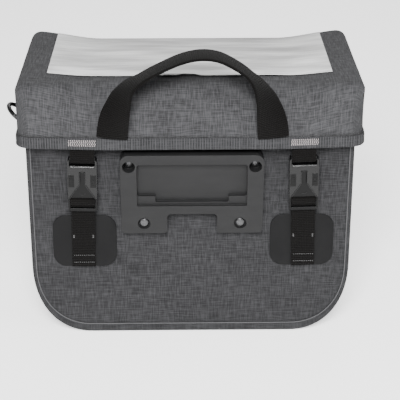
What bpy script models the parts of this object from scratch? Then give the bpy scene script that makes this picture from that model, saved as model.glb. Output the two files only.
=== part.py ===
"""Bicycle handlebar bag, in metres, +Z up, with its handlebar side facing -Y.

A soft box bag stands on its base. A rear panel, a front panel and a gusset make
the body, and a soft lid with a clear map window is sewn to the front panel. Two
straps with side-release buckles hold the lid down. A moulded wedge plate on the
rear panel takes the handlebar bracket, and D-rings hang from tabs on the gusset.
The origin is the middle of the flat base.
"""
import math

import bmesh
import bpy
from mathutils import Matrix, Vector

# Fits
FIT = 0.0003  # gap between pieces that touch
RIM_FIT = 0.0008  # gap between the body's rim and the underside of the lid

# Fineness of the meshes
SHARP_ANGLE = 35.0  # degrees; edges sharper than this stay crisp
ARC_STEPS = 4  # steps in a quarter turn of cloth, of a wire or of a screw's head
PANEL_LEVELS = 7
LID_LINES = (16, 8)  # grid steps of the lid's top, across and deep
CORNER_LINE = 0.55  # share of the lid's corner at which it has one more grid line
WINDOW_STEPS = (12, 6)  # grid steps of the film, across and deep
WELL_SIDES = 20
BORE_SIDES = 16
TAB_STEPS = 8
BOW_STEPS = 14
TINY = 1e-7

# Body
BODY_WIDTH = 0.268
BODY_DEPTH = 0.146
WALL = 0.0025  # laminated fabric of the body
CORNER_RUN = 0.050  # width of the rounded lower corners
CORNER_RISE = 0.065  # height of the rounded lower corners
CORNER_POWER = 2.2  # superellipse power of the lower corners
SIDE_LINE = 1.6  # height at which the straight sides begin, in corner rises
SEAM_SIDE = 0.004  # how far the gusset wraps onto the panels at the sides
SEAM_BASE = 0.0095  # how far it wraps onto them at the base
EDGE_RADIUS = 0.004  # rounding between the gusset and the panels
SEAM_FLAT = 0.25  # share of the wrap that lies flat beside the seam
FRONT_BULGE = 0.006
BULGE_CLEARANCE = 0.006  # from the top of the bulge up to the lid's hem
REAR_RIM_HEIGHT = 0.198  # top of the rear panel, inside the lid
RIM_RUN = 0.030  # depth over which the gusset's rim rises to the lid
RIM_SECTIONS = (0.5, 0.75, 1.0)  # sections across that rise, as shares of its depth
MIDDLE_SECTIONS = (-0.2, 0.3)  # sections past it, as shares of half the body's depth

# Lid
LID_HEIGHT = 0.228  # top of the lid at its ends
LID_FALL = 0.003  # how much lower the front of the lid is than its rear
LID_HEM_HEIGHT = 0.177
LID_SIDE_GAP = 0.006  # from the body's sides to the outside of the skirt
LID_REAR_GAP = 0.009  # from the rear panel to the outside of the hem, at its ends
HEM_BULGE = 0.004  # extra at the middle of the rear hem
LID_WALL = 0.0025
PLAN_RADIUS = 0.010  # vertical corners of the lid
SHOULDER = 0.008  # edge between the top and the skirt
SLACK_SHOULDER = 0.031  # the same at the middle of the rear, where the lid slumps
SLACK_RUN = 0.075  # width over which one turns into the other
SAG_REAR = 0.0045  # sag of the lid's middle at the rear
SAG_FRONT = 0.0080  # the same at the front
SAG_EDGE = 0.45  # share of the half width over which the sag begins

# Map window
WINDOW_WIDTH = 0.232
WINDOW_SETBACK = 0.037  # from the rear hem to the window's near edge
FILM = 0.0010
FILM_RISE = 0.0015  # bulge of the film

# Handle
HANDLE_SPAN = 0.129
HANDLE_SHIFT = 0.0018  # its middle, to the right of the bag's
HANDLE_HEM_RISE = 0.010  # from the lid's hem up to the handle's sewn ends
HANDLE_RISE = 0.064
HANDLE_LEAN = 0.015
HANDLE_WIDTH = 0.025
HANDLE_WEB = 0.0020
HANDLE_FIT = 0.0007  # from the skirt to the handle's sewn ends

# Adapter plate
PLATE_WIDTH = 0.1166
PLATE_SHIFT = 0.0012  # its middle, to the right of the bag's
PLATE_HEIGHT = 0.0735
PLATE_HEM_GAP = 0.0055  # from the lid's hem down to the plate
PLATE_TOP_PROUD = 0.0135
PLATE_FOOT_PROUD = 0.0050
PLATE_TOP_RADIUS = 0.0065
PLATE_FOOT_RADIUS = 0.0040
NOTCH_WIDTH = 0.041
NOTCH_HEIGHT = 0.0185
NOTCH_RADIUS = 0.0030
RECESS_WIDTH = 0.090
RECESS_TOP_WALL = 0.0085  # from the plate's top down to the recess
RECESS_BLOCK_HEIGHT = 0.0345  # top of the two corner blocks above the plate's base
RECESS_NECK_WIDTH = 0.060  # between the corner blocks
RECESS_FLOOR_HEIGHT = 0.0290  # lower edge of the deep floor above the plate's base
RECESS_RIM_HEIGHT = 0.0261  # lower edge of the whole recess above the plate's base
SHELF_DEPTH = 0.0025  # from the plate's face down to the blocks and the rail
RECESS_RADIUS = 0.0025
RECESS_WALL = 0.0026  # plastic left behind the recess at its lower edge
TOP_HOLE_SPACING = 0.1026
TOP_HOLE_DROP = 0.0105  # from the plate's top
FOOT_HOLE_SPACING = 0.0794
FOOT_HOLE_HEIGHT = 0.0095  # above the plate's base
WELL_DIAMETER = 0.0104
WELL_FLOOR = 0.0024  # plastic left under a screw's head
SCREW_HEAD = 0.0086
SCREW_DOME = 0.0020
SCREW_SHANK = 0.0036
SCREW_BORE_GAP = 0.0004

# Fastening straps
STRAP_SPACING = 0.1785
STRAP_SHIFT = 0.0022  # middle of the two, to the right of the bag's
STRAP_WIDTH = 0.0195
STRAP_WEB = 0.0014
STRAP_SPLAY = 1.4  # degrees, outwards
STRAP_TOP_GAP = 0.0009  # from the hem's middle to the strap's end
STRAP_END_HEIGHT = 0.0665
STRAP_TURN_HEIGHT = 0.093  # end of the layer that is folded back
STRAP_STEP = 0.0056  # length over which the outer layer comes down onto the inner's line

# Buckles, with lengths down from the hem
BUCKLE_WIDTH = 0.0236
BUCKLE_DEPTH = 0.0080
BUCKLE_TILT = 5.0  # degrees, the foot towards the bag
BUCKLE_DROP = 0.0084  # from the hem to the top
FEMALE_BAR = 0.0026
FEMALE_SLOT = 0.0028
FEMALE_LENGTH = 0.0355
MALE_TAIL = 0.0128  # what shows of the male half below the female half
MOUTH_APEX_WIDTH = 0.0048
MOUTH_RISE = 0.0128
KEYWAY_LENGTH = 0.0118
BUCKLE_SHELL = 0.0014
BUCKLE_BAR = 0.0030
BUCKLE_BAR_DEPTH = 0.0024
LOWER_BAR = 0.0026
LOWER_BAR_DEPTH = 0.0020
BUCKLE_CORNER = 0.0020

# Patches
PATCH_WIDTH = 0.053
PATCH_HEIGHT = 0.047
PATCH_BASE_HEIGHT = 0.0660
PATCH_RADIUS = 0.011
PATCH_SHEET = 0.0010

# D-rings and their tabs
RING_FIT = 0.0004  # from the tab's edges to the ring's sides
RING_REACH = 0.0260  # from the bar to the tip
RING_WIRE = 0.0038
RING_HEM_DROP = 0.0090  # from the lid's hem down to the bar
RING_LEFT_ANGLE = 40.0  # degrees above level; the right ring hangs on its tab
TAB_WIDTH = 0.0200
TAB_WEB = 0.0012
TAB_LENGTH = 0.033  # from the bar down to the tab's sewn end
TAB_PARTING = 0.0095  # from the bar down to where the tab's two layers meet
TAB_WRAP = 1.15  # half turns that the tab makes round the bar

# The skirt from the lid's top edge down to its hem. The firm profile, at the
# ends and the front, is an arc and then a straight. The slack one gives how far
# in from the hem and how far down each row lies, as shares.
SKIRT_ROWS = (
    # firm arc in degrees, share of the firm straight, slack share in, slack share down
    (0, 0.00, 1.00, 0.000),
    (30, 0.00, 0.80, 0.035),
    (60, 0.00, 0.60, 0.120),
    (90, 0.00, 0.42, 0.250),
    (90, 0.25, 0.28, 0.390),
    (90, 0.50, 0.15, 0.570),
    (90, 0.75, 0.05, 0.760),
    (90, 1.00, 0.00, 1.000),
)

# The handle's middle line from its left end to its right end, as shares of its
# span, rise and lean, with the share of a quarter turn that its face has made.
HANDLE_ROWS = (
    # span, rise, lean, turn
    (-0.500, 0.000, 0.00, 0.00),
    (-0.487, 0.200, -0.04, 0.15),
    (-0.465, 0.360, 0.00, 0.38),
    (-0.435, 0.520, 0.15, 0.60),
    (-0.390, 0.650, 0.32, 0.85),
    (-0.310, 0.745, 0.55, 1.00),
    (-0.200, 0.850, 0.76, 1.00),
    (-0.070, 0.955, 0.93, 1.00),
    (0.050, 1.000, 1.00, 1.00),
    (0.160, 0.978, 0.95, 1.00),
    (0.260, 0.890, 0.80, 1.00),
    (0.345, 0.780, 0.60, 1.00),
    (0.405, 0.665, 0.36, 0.85),
    (0.450, 0.500, 0.13, 0.60),
    (0.475, 0.330, 0.00, 0.36),
    (0.490, 0.170, -0.04, 0.13),
    (0.500, 0.000, 0.00, 0.00),
)

REAR = -BODY_DEPTH / 2
FRONT = BODY_DEPTH / 2
LID_HALF = BODY_WIDTH / 2 + LID_SIDE_GAP
LID_FRONT = FRONT + FIT + LID_WALL
HANDLE_BASE_HEIGHT = LID_HEM_HEIGHT + HANDLE_HEM_RISE
PLATE_TOP_HEIGHT = LID_HEM_HEIGHT - PLATE_HEM_GAP
PLATE_BASE_HEIGHT = PLATE_TOP_HEIGHT - PLATE_HEIGHT
RING_BAR_HEIGHT = LID_HEM_HEIGHT - RING_HEM_DROP
TAB_BASE_HEIGHT = RING_BAR_HEIGHT - TAB_LENGTH
PLATE_SLOPE = (PLATE_TOP_PROUD - PLATE_FOOT_PROUD) / PLATE_HEIGHT
CUT_REACH = 2 * PLATE_TOP_PROUD  # depth of the plate's blank and of its cutters
SIDES = (("left", -1), ("right", 1))


def clear_scene():
    """Empties the scene that the script starts in."""
    for item in list(bpy.data.objects):
        bpy.data.objects.remove(item, do_unlink=True)


def new_collection(name):
    """A collection of the scene."""
    group = bpy.data.collections.new(name)
    bpy.context.scene.collection.children.link(group)
    return group


def plain_material(name, colour, roughness, metallic=0.0):
    """A Principled material of one colour."""
    made = bpy.data.materials.new(name)
    made.use_nodes = True
    shader = made.node_tree.nodes["Principled BSDF"]
    shader.inputs["Base Color"].default_value = (*colour, 1.0)
    shader.inputs["Roughness"].default_value = roughness
    shader.inputs["Metallic"].default_value = metallic
    return made


def smoothstep(value):
    """0 to 1 with soft ends, for a value from 0 to 1."""
    value = min(max(value, 0.0), 1.0)
    return value * value * (3 - 2 * value)


def blend(low, high, share):
    """The value at a share of the way from low to high."""
    return low + (high - low) * share


class Workshop:
    """The collections and materials that every piece uses."""

    def __init__(self):
        self.parts = new_collection("handlebar_bag")
        self.cutters = new_collection("cutters")
        self.materials = {
            "fabric": plain_material("fabric", (0.10, 0.10, 0.105), 0.95),
            "lid_fabric": plain_material("lid_fabric", (0.16, 0.16, 0.165), 0.95),
            "webbing": plain_material("webbing", (0.016, 0.015, 0.014), 0.85),
            "patch": plain_material("patch", (0.028, 0.028, 0.028), 0.55),
            "plastic": plain_material("plastic", (0.065, 0.065, 0.066), 0.50),
            "gloss_plastic": plain_material("gloss_plastic", (0.012, 0.012, 0.012), 0.30),
            "film": plain_material("film", (0.55, 0.55, 0.54), 0.18),
            "screw_steel": plain_material("screw_steel", (0.05, 0.05, 0.05), 0.35, 1.0),
        }

    def place(self, name, mesh, material, smooth=True):
        """Makes a piece of the bag from its mesh."""
        item = bpy.data.objects.new(name, mesh)
        self.parts.objects.link(item)
        mesh.materials.append(self.materials[material])
        if smooth:
            mesh.shade_smooth()
            mesh.set_sharp_from_angle(angle=math.radians(SHARP_ANGLE))
        return item

    def cut(self, piece, name, mesh):
        """Cuts a shape, given in the piece's own frame, out of the piece."""
        tool = bpy.data.objects.new(name, mesh)
        self.cutters.objects.link(tool)
        tool.parent = piece
        tool.hide_render = True
        tool.display_type = "WIRE"
        step = piece.modifiers.new(name, "BOOLEAN")
        step.operation = "DIFFERENCE"
        step.solver = "EXACT"
        step.object = tool


def mesh_from(bm, name):
    """A closed mesh, with its faces turned outwards."""
    bmesh.ops.recalc_face_normals(bm, faces=bm.faces)
    mesh = bpy.data.meshes.new(name)
    bm.to_mesh(mesh)
    bm.free()
    return mesh


def mesh_from_open(bm, name):
    """A mesh from an open shell whose first face must look up."""
    bmesh.ops.recalc_face_normals(bm, faces=bm.faces)
    bm.faces.ensure_lookup_table()
    if bm.faces[0].normal.z < 0:
        bmesh.ops.reverse_faces(bm, faces=bm.faces)
    mesh = bpy.data.meshes.new(name)
    bm.to_mesh(mesh)
    bm.free()
    return mesh


def sheet_mesh(name, rows, facing):
    """An open sheet through rows of points, whose first face looks along facing."""
    bm = bmesh.new()
    columns = len(rows[0])
    bmesh.ops.create_grid(bm, x_segments=columns - 1, y_segments=len(rows) - 1, size=0.5)
    bm.verts.ensure_lookup_table()
    for index, vert in enumerate(bm.verts):
        vert.co = rows[index // columns][index % columns]
    bm.normal_update()
    bm.faces.ensure_lookup_table()
    if bm.faces[0].normal.dot(Vector(facing)) < 0:
        bmesh.ops.reverse_faces(bm, faces=bm.faces)
    mesh = bpy.data.meshes.new(name)
    bm.to_mesh(mesh)
    bm.free()
    return mesh


def thicken(piece, thickness, outwards=False):
    """Gives a sheet its wall, behind its faces or in front of them."""
    wall = piece.modifiers.new("wall", "SOLIDIFY")
    wall.thickness = thickness
    wall.offset = 1.0 if outwards else -1.0
    wall.use_even_offset = True


def box_mesh(name, low, high):
    """A box between two corners."""
    bm = bmesh.new()
    size = Vector(high) - Vector(low)
    middle = (Vector(high) + Vector(low)) / 2
    place = Matrix.Translation(middle) @ Matrix.Diagonal((*size, 1.0))
    bmesh.ops.create_cube(bm, size=1.0, matrix=place)
    return mesh_from(bm, name)


def rounded_outline(corners, steps=5):
    """Points of a closed outline, from corners given as (x, z, radius)."""
    points = []
    for index, (x, z, radius) in enumerate(corners):
        corner = Vector((x, z))
        before = Vector(corners[index - 1][:2]) - corner
        after = Vector(corners[(index + 1) % len(corners)][:2]) - corner
        if radius <= 0:
            points.append(corner)
            continue
        half = before.angle(after) / 2
        reach = radius / math.tan(half)
        middle = corner + (before.normalized() + after.normalized()).normalized() * (
            radius / math.sin(half))
        start = corner + before.normalized() * reach - middle
        end = corner + after.normalized() * reach - middle
        sweep = start.angle_signed(end)
        for step in range(steps + 1):
            turn = Matrix.Rotation(-sweep * step / steps, 2)
            points.append(middle + turn @ start)
    return points


def mirrored(half):
    """A whole outline from its right half, listed from the top middle to the foot."""
    left = [(-x, z, radius) for x, z, radius in reversed(half) if x > 0]
    return list(half) + left


def plate_mesh(name, outline, y_low, y_high):
    """An outline in X and Z with a thickness along Y."""
    bm = bmesh.new()
    verts = [bm.verts.new((point.x, y_low, point.y)) for point in outline]
    face = bm.faces.new(verts)
    grown = bmesh.ops.extrude_face_region(bm, geom=[face])
    moved = [item for item in grown["geom"] if isinstance(item, bmesh.types.BMVert)]
    bmesh.ops.translate(bm, verts=moved, vec=(0, y_high - y_low, 0))
    return mesh_from(bm, name)


def ribbon_mesh(name, path, width, across):
    """An open strip along path, as wide as width in the direction across."""
    side = Vector(across) * width / 2
    rows = [[Vector(point) - side, Vector(point) + side] for point in path]
    bm = bmesh.new()
    bmesh.ops.create_grid(bm, x_segments=1, y_segments=len(rows) - 1, size=0.5)
    bm.verts.ensure_lookup_table()
    for index, vert in enumerate(bm.verts):
        vert.co = rows[index // 2][index % 2]
    mesh = bpy.data.meshes.new(name)
    bm.to_mesh(mesh)
    bm.free()
    return mesh


def web(workshop, name, path, width, thickness, across):
    """A piece of webbing whose middle line is path."""
    strap = workshop.place(name, ribbon_mesh(name, path, width, across), "webbing")
    wall = strap.modifiers.new("web", "SOLIDIFY")
    wall.thickness = thickness
    wall.offset = 0.0
    wall.use_even_offset = True
    return strap


# Body

def corner_points(run, rise, steps=9):
    """The rounded lower corner, from its side down to the base, as (in, up)."""
    points = []
    for step in range(1, steps):
        angle = math.pi / 2 * step / steps
        across = run * (1 - math.cos(angle) ** (2 / CORNER_POWER))
        up = rise * (1 - math.sin(angle) ** (2 / CORNER_POWER))
        points.append((across, up))
    return points


def body_outline(inset):
    """The body's U-shaped outline without its rim, from left to right, as (x, z).

    inset runs from 0 at the widest part of the gusset to 1 at the panels' seam.
    """
    half = BODY_WIDTH / 2 - SEAM_SIDE * inset
    base = SEAM_BASE * inset
    run = CORNER_RUN - SEAM_SIDE * inset
    rise = CORNER_RISE - base
    left = [(-half, base + rise)]
    left += [(-half + across, base + up) for across, up in corner_points(run, rise)]
    left += [(-half + run, base), (-(half - run) / 2, base)]
    return left + [(0.0, base)] + [(-x, z) for x, z in reversed(left)]


def lid_top_height(x, y):
    """Outside of the lid's top, with its fall to the front and its sag."""
    along = (y - REAR) / BODY_DEPTH
    sag = blend(SAG_REAR, SAG_FRONT, min(max(along, 0.0), 1.0))
    slack = smoothstep((1 - abs(x) / LID_HALF) / SAG_EDGE)
    return LID_HEIGHT + LID_FALL * (0.5 - along) - sag * slack


def lid_inset(x, y):
    """How far in from the outside of the lid's skirt a point lies, front half."""
    over_x = abs(x) - (LID_HALF - PLAN_RADIUS)
    over_y = y - (LID_FRONT - PLAN_RADIUS)
    outside = math.hypot(max(over_x, 0.0), max(over_y, 0.0))
    return PLAN_RADIUS - outside - min(max(over_x, over_y), 0.0)


def rim_height(x, y):
    """Top of the body's rim, just under the lid and clear of its shoulder."""
    inner = SHOULDER - LID_WALL
    off_centre = min(max(SHOULDER + FIT - lid_inset(x, y), 0.0), inner)
    tuck = inner - math.sqrt(inner * inner - off_centre * off_centre)
    under = lid_top_height(x, y) - LID_WALL - RIM_FIT - tuck
    rise = smoothstep((y - REAR) / RIM_RUN)
    return blend(REAR_RIM_HEIGHT, under, rise)


def gusset_rows():
    """Sections across the gusset, from the rear seam to the front seam."""
    arc = [math.pi / 2 * step / ARC_STEPS for step in range(ARC_STEPS + 1)]
    rear = [(1.0, REAR)]
    rear += [((1 - SEAM_FLAT) * (1 - math.sin(angle)), REAR + EDGE_RADIUS * (1 - math.cos(angle)))
             for angle in arc]
    rise = [(0.0, REAR + RIM_RUN * share) for share in RIM_SECTIONS]
    middle = [(0.0, FRONT * share) for share in MIDDLE_SECTIONS]
    front = [(inset, -y) for inset, y in reversed(rear)]
    rows = []
    for inset, y in rear + rise + middle + front:
        outline = body_outline(inset)
        edge = outline[0][0]
        start = [(edge, rim_height(edge, y)), (edge, CORNER_RISE * SIDE_LINE)]
        end = [(-x, z) for x, z in reversed(start)]
        rows.append([Vector((x, y, z)) for x, z in start + outline + end])
    return rows


def make_gusset(workshop):
    """The band round the bag's sides and base."""
    gusset = workshop.place(
        "gusset", sheet_mesh("gusset", gusset_rows(), (-1, -1, 0)), "fabric")
    thicken(gusset, WALL)


def make_panel(workshop, name, side, bulge, rim):
    """A panel inside the gusset's seam, on the rear (-1) or the front (1).

    It bulges below the lid's hem and is flat from there up to its rim.
    """
    outline = body_outline(1.0)
    half = outline[-1][0]
    shrink = (half - FIT) / half
    shoulder = LID_HEM_HEIGHT - BULGE_CLEARANCE
    rows = []
    for level in range(PANEL_LEVELS + 1):
        share = level / PANEL_LEVELS
        row = []
        for x, z in outline:
            x = x * shrink
            across = (1 - (x / half) ** 4) ** 2
            upright = (1 - (2 * share - 1) ** 4) ** 2
            y = side * (BODY_DEPTH / 2 + bulge * across * upright)
            row.append(Vector((x, y, blend(z + FIT, shoulder, share))))
        rows.append(row)
    rows.append([Vector((point.x, point.y, rim(point.x))) for point in rows[-1]])
    panel = workshop.place(name, sheet_mesh(name, rows, (0, side, 0)), "fabric")
    thicken(panel, WALL)


def make_body(workshop):
    """The gusset and the two panels sewn into it."""
    make_gusset(workshop)
    make_panel(workshop, "rear_panel", -1, 0.0, lambda x: REAR_RIM_HEIGHT)
    make_panel(workshop, "front_panel", 1, FRONT_BULGE,
               lambda x: rim_height(x, FRONT))


# Lid

def slackness(x):
    """0 where the rear skirt is firm, 1 where it slumps."""
    return smoothstep((LID_HALF - abs(x)) / SLACK_RUN)


def rear_hem(x):
    """Outside of the rear hem."""
    return REAR - LID_REAR_GAP - HEM_BULGE * slackness(x)


def skirt_row(row, slack, height):
    """One row of the skirt, as how far in from the hem and down from the top."""
    angle, straight, slack_in, slack_down = row
    angle = math.radians(angle)
    firm_in = SHOULDER * (1 - math.sin(angle))
    firm_down = SHOULDER * (1 - math.cos(angle)) + (height - SHOULDER) * straight
    inwards = blend(firm_in, SLACK_SHOULDER * slack_in, slack)
    down = blend(firm_down, height * slack_down, slack)
    return inwards, down


def rear_skirt(x, z):
    """Y of the outside of the rear skirt at a height."""
    slack = slackness(x)
    top = lid_top_height(x, rear_hem(x) + blend(SHOULDER, SLACK_SHOULDER, slack))
    profile = [skirt_row(row, slack, top - LID_HEM_HEIGHT) for row in SKIRT_ROWS]
    for (in_a, down_a), (in_b, down_b) in zip(profile, profile[1:]):
        if top - down_b <= z:
            share = (top - down_a - z) / (down_b - down_a)
            return rear_hem(x) + blend(in_a, in_b, min(max(share, 0.0), 1.0))
    return rear_hem(x)


def axis_lines(half, radius, plain):
    """Grid lines from -1 to 1, with extra ones in the rounded corners."""
    corner = radius / half
    inner = [(1 - corner) * (2 * step / plain - 1) for step in range(plain + 1)]
    edge = [-1.0, -1.0 + corner * CORNER_LINE]
    return edge + inner + [-value for value in reversed(edge)]


def round_corner(s, t, half_s, half_t, radius):
    """Moves a point of a rectangle's grid so that its corners are round."""
    x = s * half_s
    y = t * half_t
    over_x = (abs(x) - half_s + radius) / radius
    over_y = (abs(y) - half_t + radius) / radius
    if over_x > 0 and over_y > 0:
        disc_x = over_x * math.sqrt(1 - over_y * over_y / 2)
        disc_y = over_y * math.sqrt(1 - over_x * over_x / 2)
        x = math.copysign(half_s - radius + disc_x * radius, x)
        y = math.copysign(half_t - radius + disc_y * radius, y)
    return x, y


def lid_plan(s, t):
    """A point of the lid's top, inside the shoulder, and the way out of it."""
    radius = PLAN_RADIUS - SHOULDER
    half_x = LID_HALF - SHOULDER
    middle = (LID_FRONT + REAR - LID_REAR_GAP) / 2
    half_y = LID_FRONT - SHOULDER - middle
    x, y = round_corner(s, t, half_x, half_y, radius)
    slack = slackness(x)
    nearness = (1 - y / half_y) / 2
    slump = SLACK_SHOULDER - SHOULDER - HEM_BULGE
    point = Vector((x, middle + y + slump * slack * nearness))
    out = Vector((max(abs(x) - half_x + radius, 0.0), max(abs(y) - half_y + radius, 0.0)))
    if out.length < TINY:
        out = Vector((0.0, 1.0)) if abs(t) > abs(s) else Vector((1.0, 0.0))
    out = Vector((math.copysign(out.x, x), math.copysign(out.y, y))).normalized()
    return point, out


def make_lid(workshop):
    """The lid: its top as a grid, with the skirt extruded down from the grid's edge."""
    half_y = (LID_FRONT - REAR + LID_REAR_GAP) / 2
    lines_x = axis_lines(LID_HALF - SHOULDER, PLAN_RADIUS - SHOULDER, LID_LINES[0])
    lines_y = axis_lines(half_y - SHOULDER, PLAN_RADIUS - SHOULDER, LID_LINES[1])
    bm = bmesh.new()
    bmesh.ops.create_grid(
        bm, x_segments=len(lines_x) - 1, y_segments=len(lines_y) - 1, size=1.0)
    out = bm.verts.layers.float_vector.new("out")
    bm.verts.ensure_lookup_table()
    for index, vert in enumerate(bm.verts):
        s = lines_x[index % len(lines_x)]
        t = lines_y[index // len(lines_x)]
        place, outwards = lid_plan(s, t)
        vert.co = (place.x, place.y, lid_top_height(place.x, place.y))
        vert[out] = (outwards.x, outwards.y, 0)
    edge = [item for item in bm.edges if item.is_boundary]
    starts = {}
    for row in SKIRT_ROWS[1:]:
        grown = bmesh.ops.extrude_edge_only(bm, edges=edge)["geom"]
        fresh = [item for item in grown if isinstance(item, bmesh.types.BMVert)]
        edge = [item for item in grown
                if isinstance(item, bmesh.types.BMEdge) and item.is_boundary]
        for vert in fresh:
            neighbours = [item.other_vert(vert) for item in vert.link_edges]
            above = [item for item in neighbours if item not in fresh][0]
            top = starts.get(above, above.co.copy())
            starts[vert] = top
            way = Vector(above[out])
            vert[out] = way
            rear_facing = way.y < TINY - 1
            slack = slackness(top.x) if rear_facing else 0.0
            inwards, down = skirt_row(row, slack, top.z - LID_HEM_HEIGHT)
            reach = blend(SHOULDER, SLACK_SHOULDER, slack) - inwards
            vert.co = (top.x + way.x * reach, top.y + way.y * reach, top.z - down)
    mesh = mesh_from_open(bm, "lid")
    lid = workshop.place("lid", mesh, "lid_fabric")
    thicken(lid, LID_WALL)


def make_map_window(workshop):
    """The clear film that lies on the lid's top, as far as the lid's front edge."""
    near = REAR - LID_REAR_GAP + WINDOW_SETBACK
    far = LID_FRONT - SHOULDER
    across, deep = WINDOW_STEPS
    rows = []
    for step_y in range(deep + 1):
        row = []
        for step_x in range(across + 1):
            s = 2 * step_x / across - 1
            t = 2 * step_y / deep - 1
            x = s * WINDOW_WIDTH / 2
            y = blend(near, far, step_y / deep)
            rise = FILM_RISE * (1 - s ** 4) * (1 - t ** 4)
            row.append(Vector((x, y, lid_top_height(x, y) + FIT + rise)))
        rows.append(row)
    film = workshop.place("map_window", sheet_mesh("map_window", rows, (0, 0, 1)), "film")
    thicken(film, FILM, outwards=True)


# Handle

def smooth_rows(rows, steps):
    """Rows through a table, with steps of them between each two (Catmull-Rom)."""
    padded = [rows[0]] + list(rows) + [rows[-1]]
    smooth = []
    for index in range(len(rows) - 1):
        p0, p1, p2, p3 = padded[index:index + 4]
        for step in range(steps):
            t = step / steps
            smooth.append(tuple(
                b + 0.5 * t * (c - a + t * (2 * a - 5 * b + 4 * c - d + t * (3 * (b - c) + d - a)))
                for a, b, c, d in zip(p0, p1, p2, p3)))
    smooth.append(rows[-1])
    return smooth


def handle_path():
    """Middle line of the handle, with the share of the quarter turn at each point."""
    path = []
    for span, rise, lean, turn in smooth_rows(HANDLE_ROWS, 2):
        x = HANDLE_SHIFT + HANDLE_SPAN * span
        foot = rear_skirt(x, HANDLE_BASE_HEIGHT) - HANDLE_FIT - HANDLE_WEB / 2
        point = Vector((x, foot + HANDLE_LEAN * lean, HANDLE_BASE_HEIGHT + HANDLE_RISE * rise))
        path.append((point, min(max(turn, 0.0), 1.0)))
    return path


def make_handle(workshop):
    """One flat strip of webbing, whose legs twist so that its face looks up in the middle."""
    path = handle_path()
    points = [point for point, turn in path]
    bm = bmesh.new()
    previous = None
    for index, (point, turn) in enumerate(path):
        after = points[min(index + 1, len(points) - 1)]
        before = points[max(index - 1, 0)]
        along = (after - before).normalized()
        flat = along.cross(Vector((0, 1, 0))).normalized()
        depth = flat.cross(along).normalized()
        angle = math.pi / 2 * turn
        across = flat * math.cos(angle) + depth * math.sin(angle)
        normal = along.cross(across).normalized()
        side = across * HANDLE_WIDTH / 2
        thick = normal * HANDLE_WEB / 2
        corners = [point - side - thick, point + side - thick,
                   point + side + thick, point - side + thick]
        ring = [bm.verts.new(corner) for corner in corners]
        loop = [bm.edges.new((ring[step - 1], ring[step])) for step in range(4)]
        if previous is None:
            bm.faces.new(ring)
        else:
            bmesh.ops.bridge_loops(bm, edges=previous + loop)
        previous = loop
    bm.faces.new(ring)
    workshop.place("handle", mesh_from(bm, "handle"), "webbing")


# Adapter plate

def plate_face_y(z):
    """Y of the plate's tilted face at a height."""
    share = (z - PLATE_BASE_HEIGHT) / PLATE_HEIGHT
    return REAR - blend(PLATE_FOOT_PROUD, PLATE_TOP_PROUD, share)


def make_adapter_plate(workshop):
    """The wedge with its notch, cut back to its tilted face."""
    half = PLATE_WIDTH / 2
    notch = NOTCH_WIDTH / 2
    notch_top = PLATE_BASE_HEIGHT + NOTCH_HEIGHT
    outline = mirrored([
        (half, PLATE_TOP_HEIGHT, PLATE_TOP_RADIUS),
        (half, PLATE_BASE_HEIGHT, PLATE_FOOT_RADIUS),
        (notch, PLATE_BASE_HEIGHT, NOTCH_RADIUS),
        (notch, notch_top, NOTCH_RADIUS),
    ])
    back = REAR - FIT
    bm = bmesh.new()
    blank = plate_mesh("blank", rounded_outline(outline), back, back - CUT_REACH)
    bm.from_mesh(blank)
    bmesh.ops.bisect_plane(
        bm, geom=bm.verts[:] + bm.edges[:] + bm.faces[:], dist=TINY,
        plane_co=(0, plate_face_y(PLATE_TOP_HEIGHT), PLATE_TOP_HEIGHT),
        plane_no=(0, -1, -PLATE_SLOPE), clear_outer=True)
    rims = [item for item in bm.edges if item.is_boundary]
    bmesh.ops.holes_fill(bm, edges=rims, sides=0)
    plate = workshop.place("adapter_plate", mesh_from(bm, "adapter_plate"), "plastic")
    plate.location.x = PLATE_SHIFT
    cut_recess(workshop, plate)
    for name, x, z in screw_places():
        cut_screw_hole(workshop, plate, name, x, z)


def cut_recess(workshop, plate):
    """The recess that the bracket slides into, with its floors along the face.

    Its deep floor ends above a rail and two corner blocks, whose tops are a shelf.
    """
    half = RECESS_WIDTH / 2
    neck = RECESS_NECK_WIDTH / 2
    top = PLATE_TOP_HEIGHT - RECESS_TOP_WALL
    block = PLATE_BASE_HEIGHT + RECESS_BLOCK_HEIGHT
    foot = PLATE_BASE_HEIGHT + RECESS_FLOOR_HEIGHT
    outline = mirrored([
        (half, top, RECESS_RADIUS),
        (half, block, RECESS_RADIUS),
        (neck, block, 0),
        (neck, foot, RECESS_RADIUS / 2),
    ])
    rim = PLATE_BASE_HEIGHT + RECESS_RIM_HEIGHT
    shelf_outline = mirrored([
        (half, block + RECESS_RADIUS, 0),
        (half, rim, RECESS_RADIUS / 2),
    ])
    shelf = plate_face_y(foot) + SHELF_DEPTH
    for name, shape, floor in (("deep", outline, REAR - RECESS_WALL),
                               ("shelf", shelf_outline, shelf)):
        mesh = plate_mesh(name, rounded_outline(shape), floor, floor - CUT_REACH)
        for vert in mesh.vertices:
            vert.co.y -= PLATE_SLOPE * (vert.co.z - foot)
        workshop.cut(plate, "recess_" + name, mesh)


def screw_places():
    """Name of each screw, and its place on the plate."""
    places = []
    for side_name, side in SIDES:
        top = PLATE_TOP_HEIGHT - TOP_HOLE_DROP
        foot = PLATE_BASE_HEIGHT + FOOT_HOLE_HEIGHT
        places.append(("screw_top_" + side_name, side * TOP_HOLE_SPACING / 2, top))
        places.append(("screw_foot_" + side_name, side * FOOT_HOLE_SPACING / 2, foot))
    return places


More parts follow.
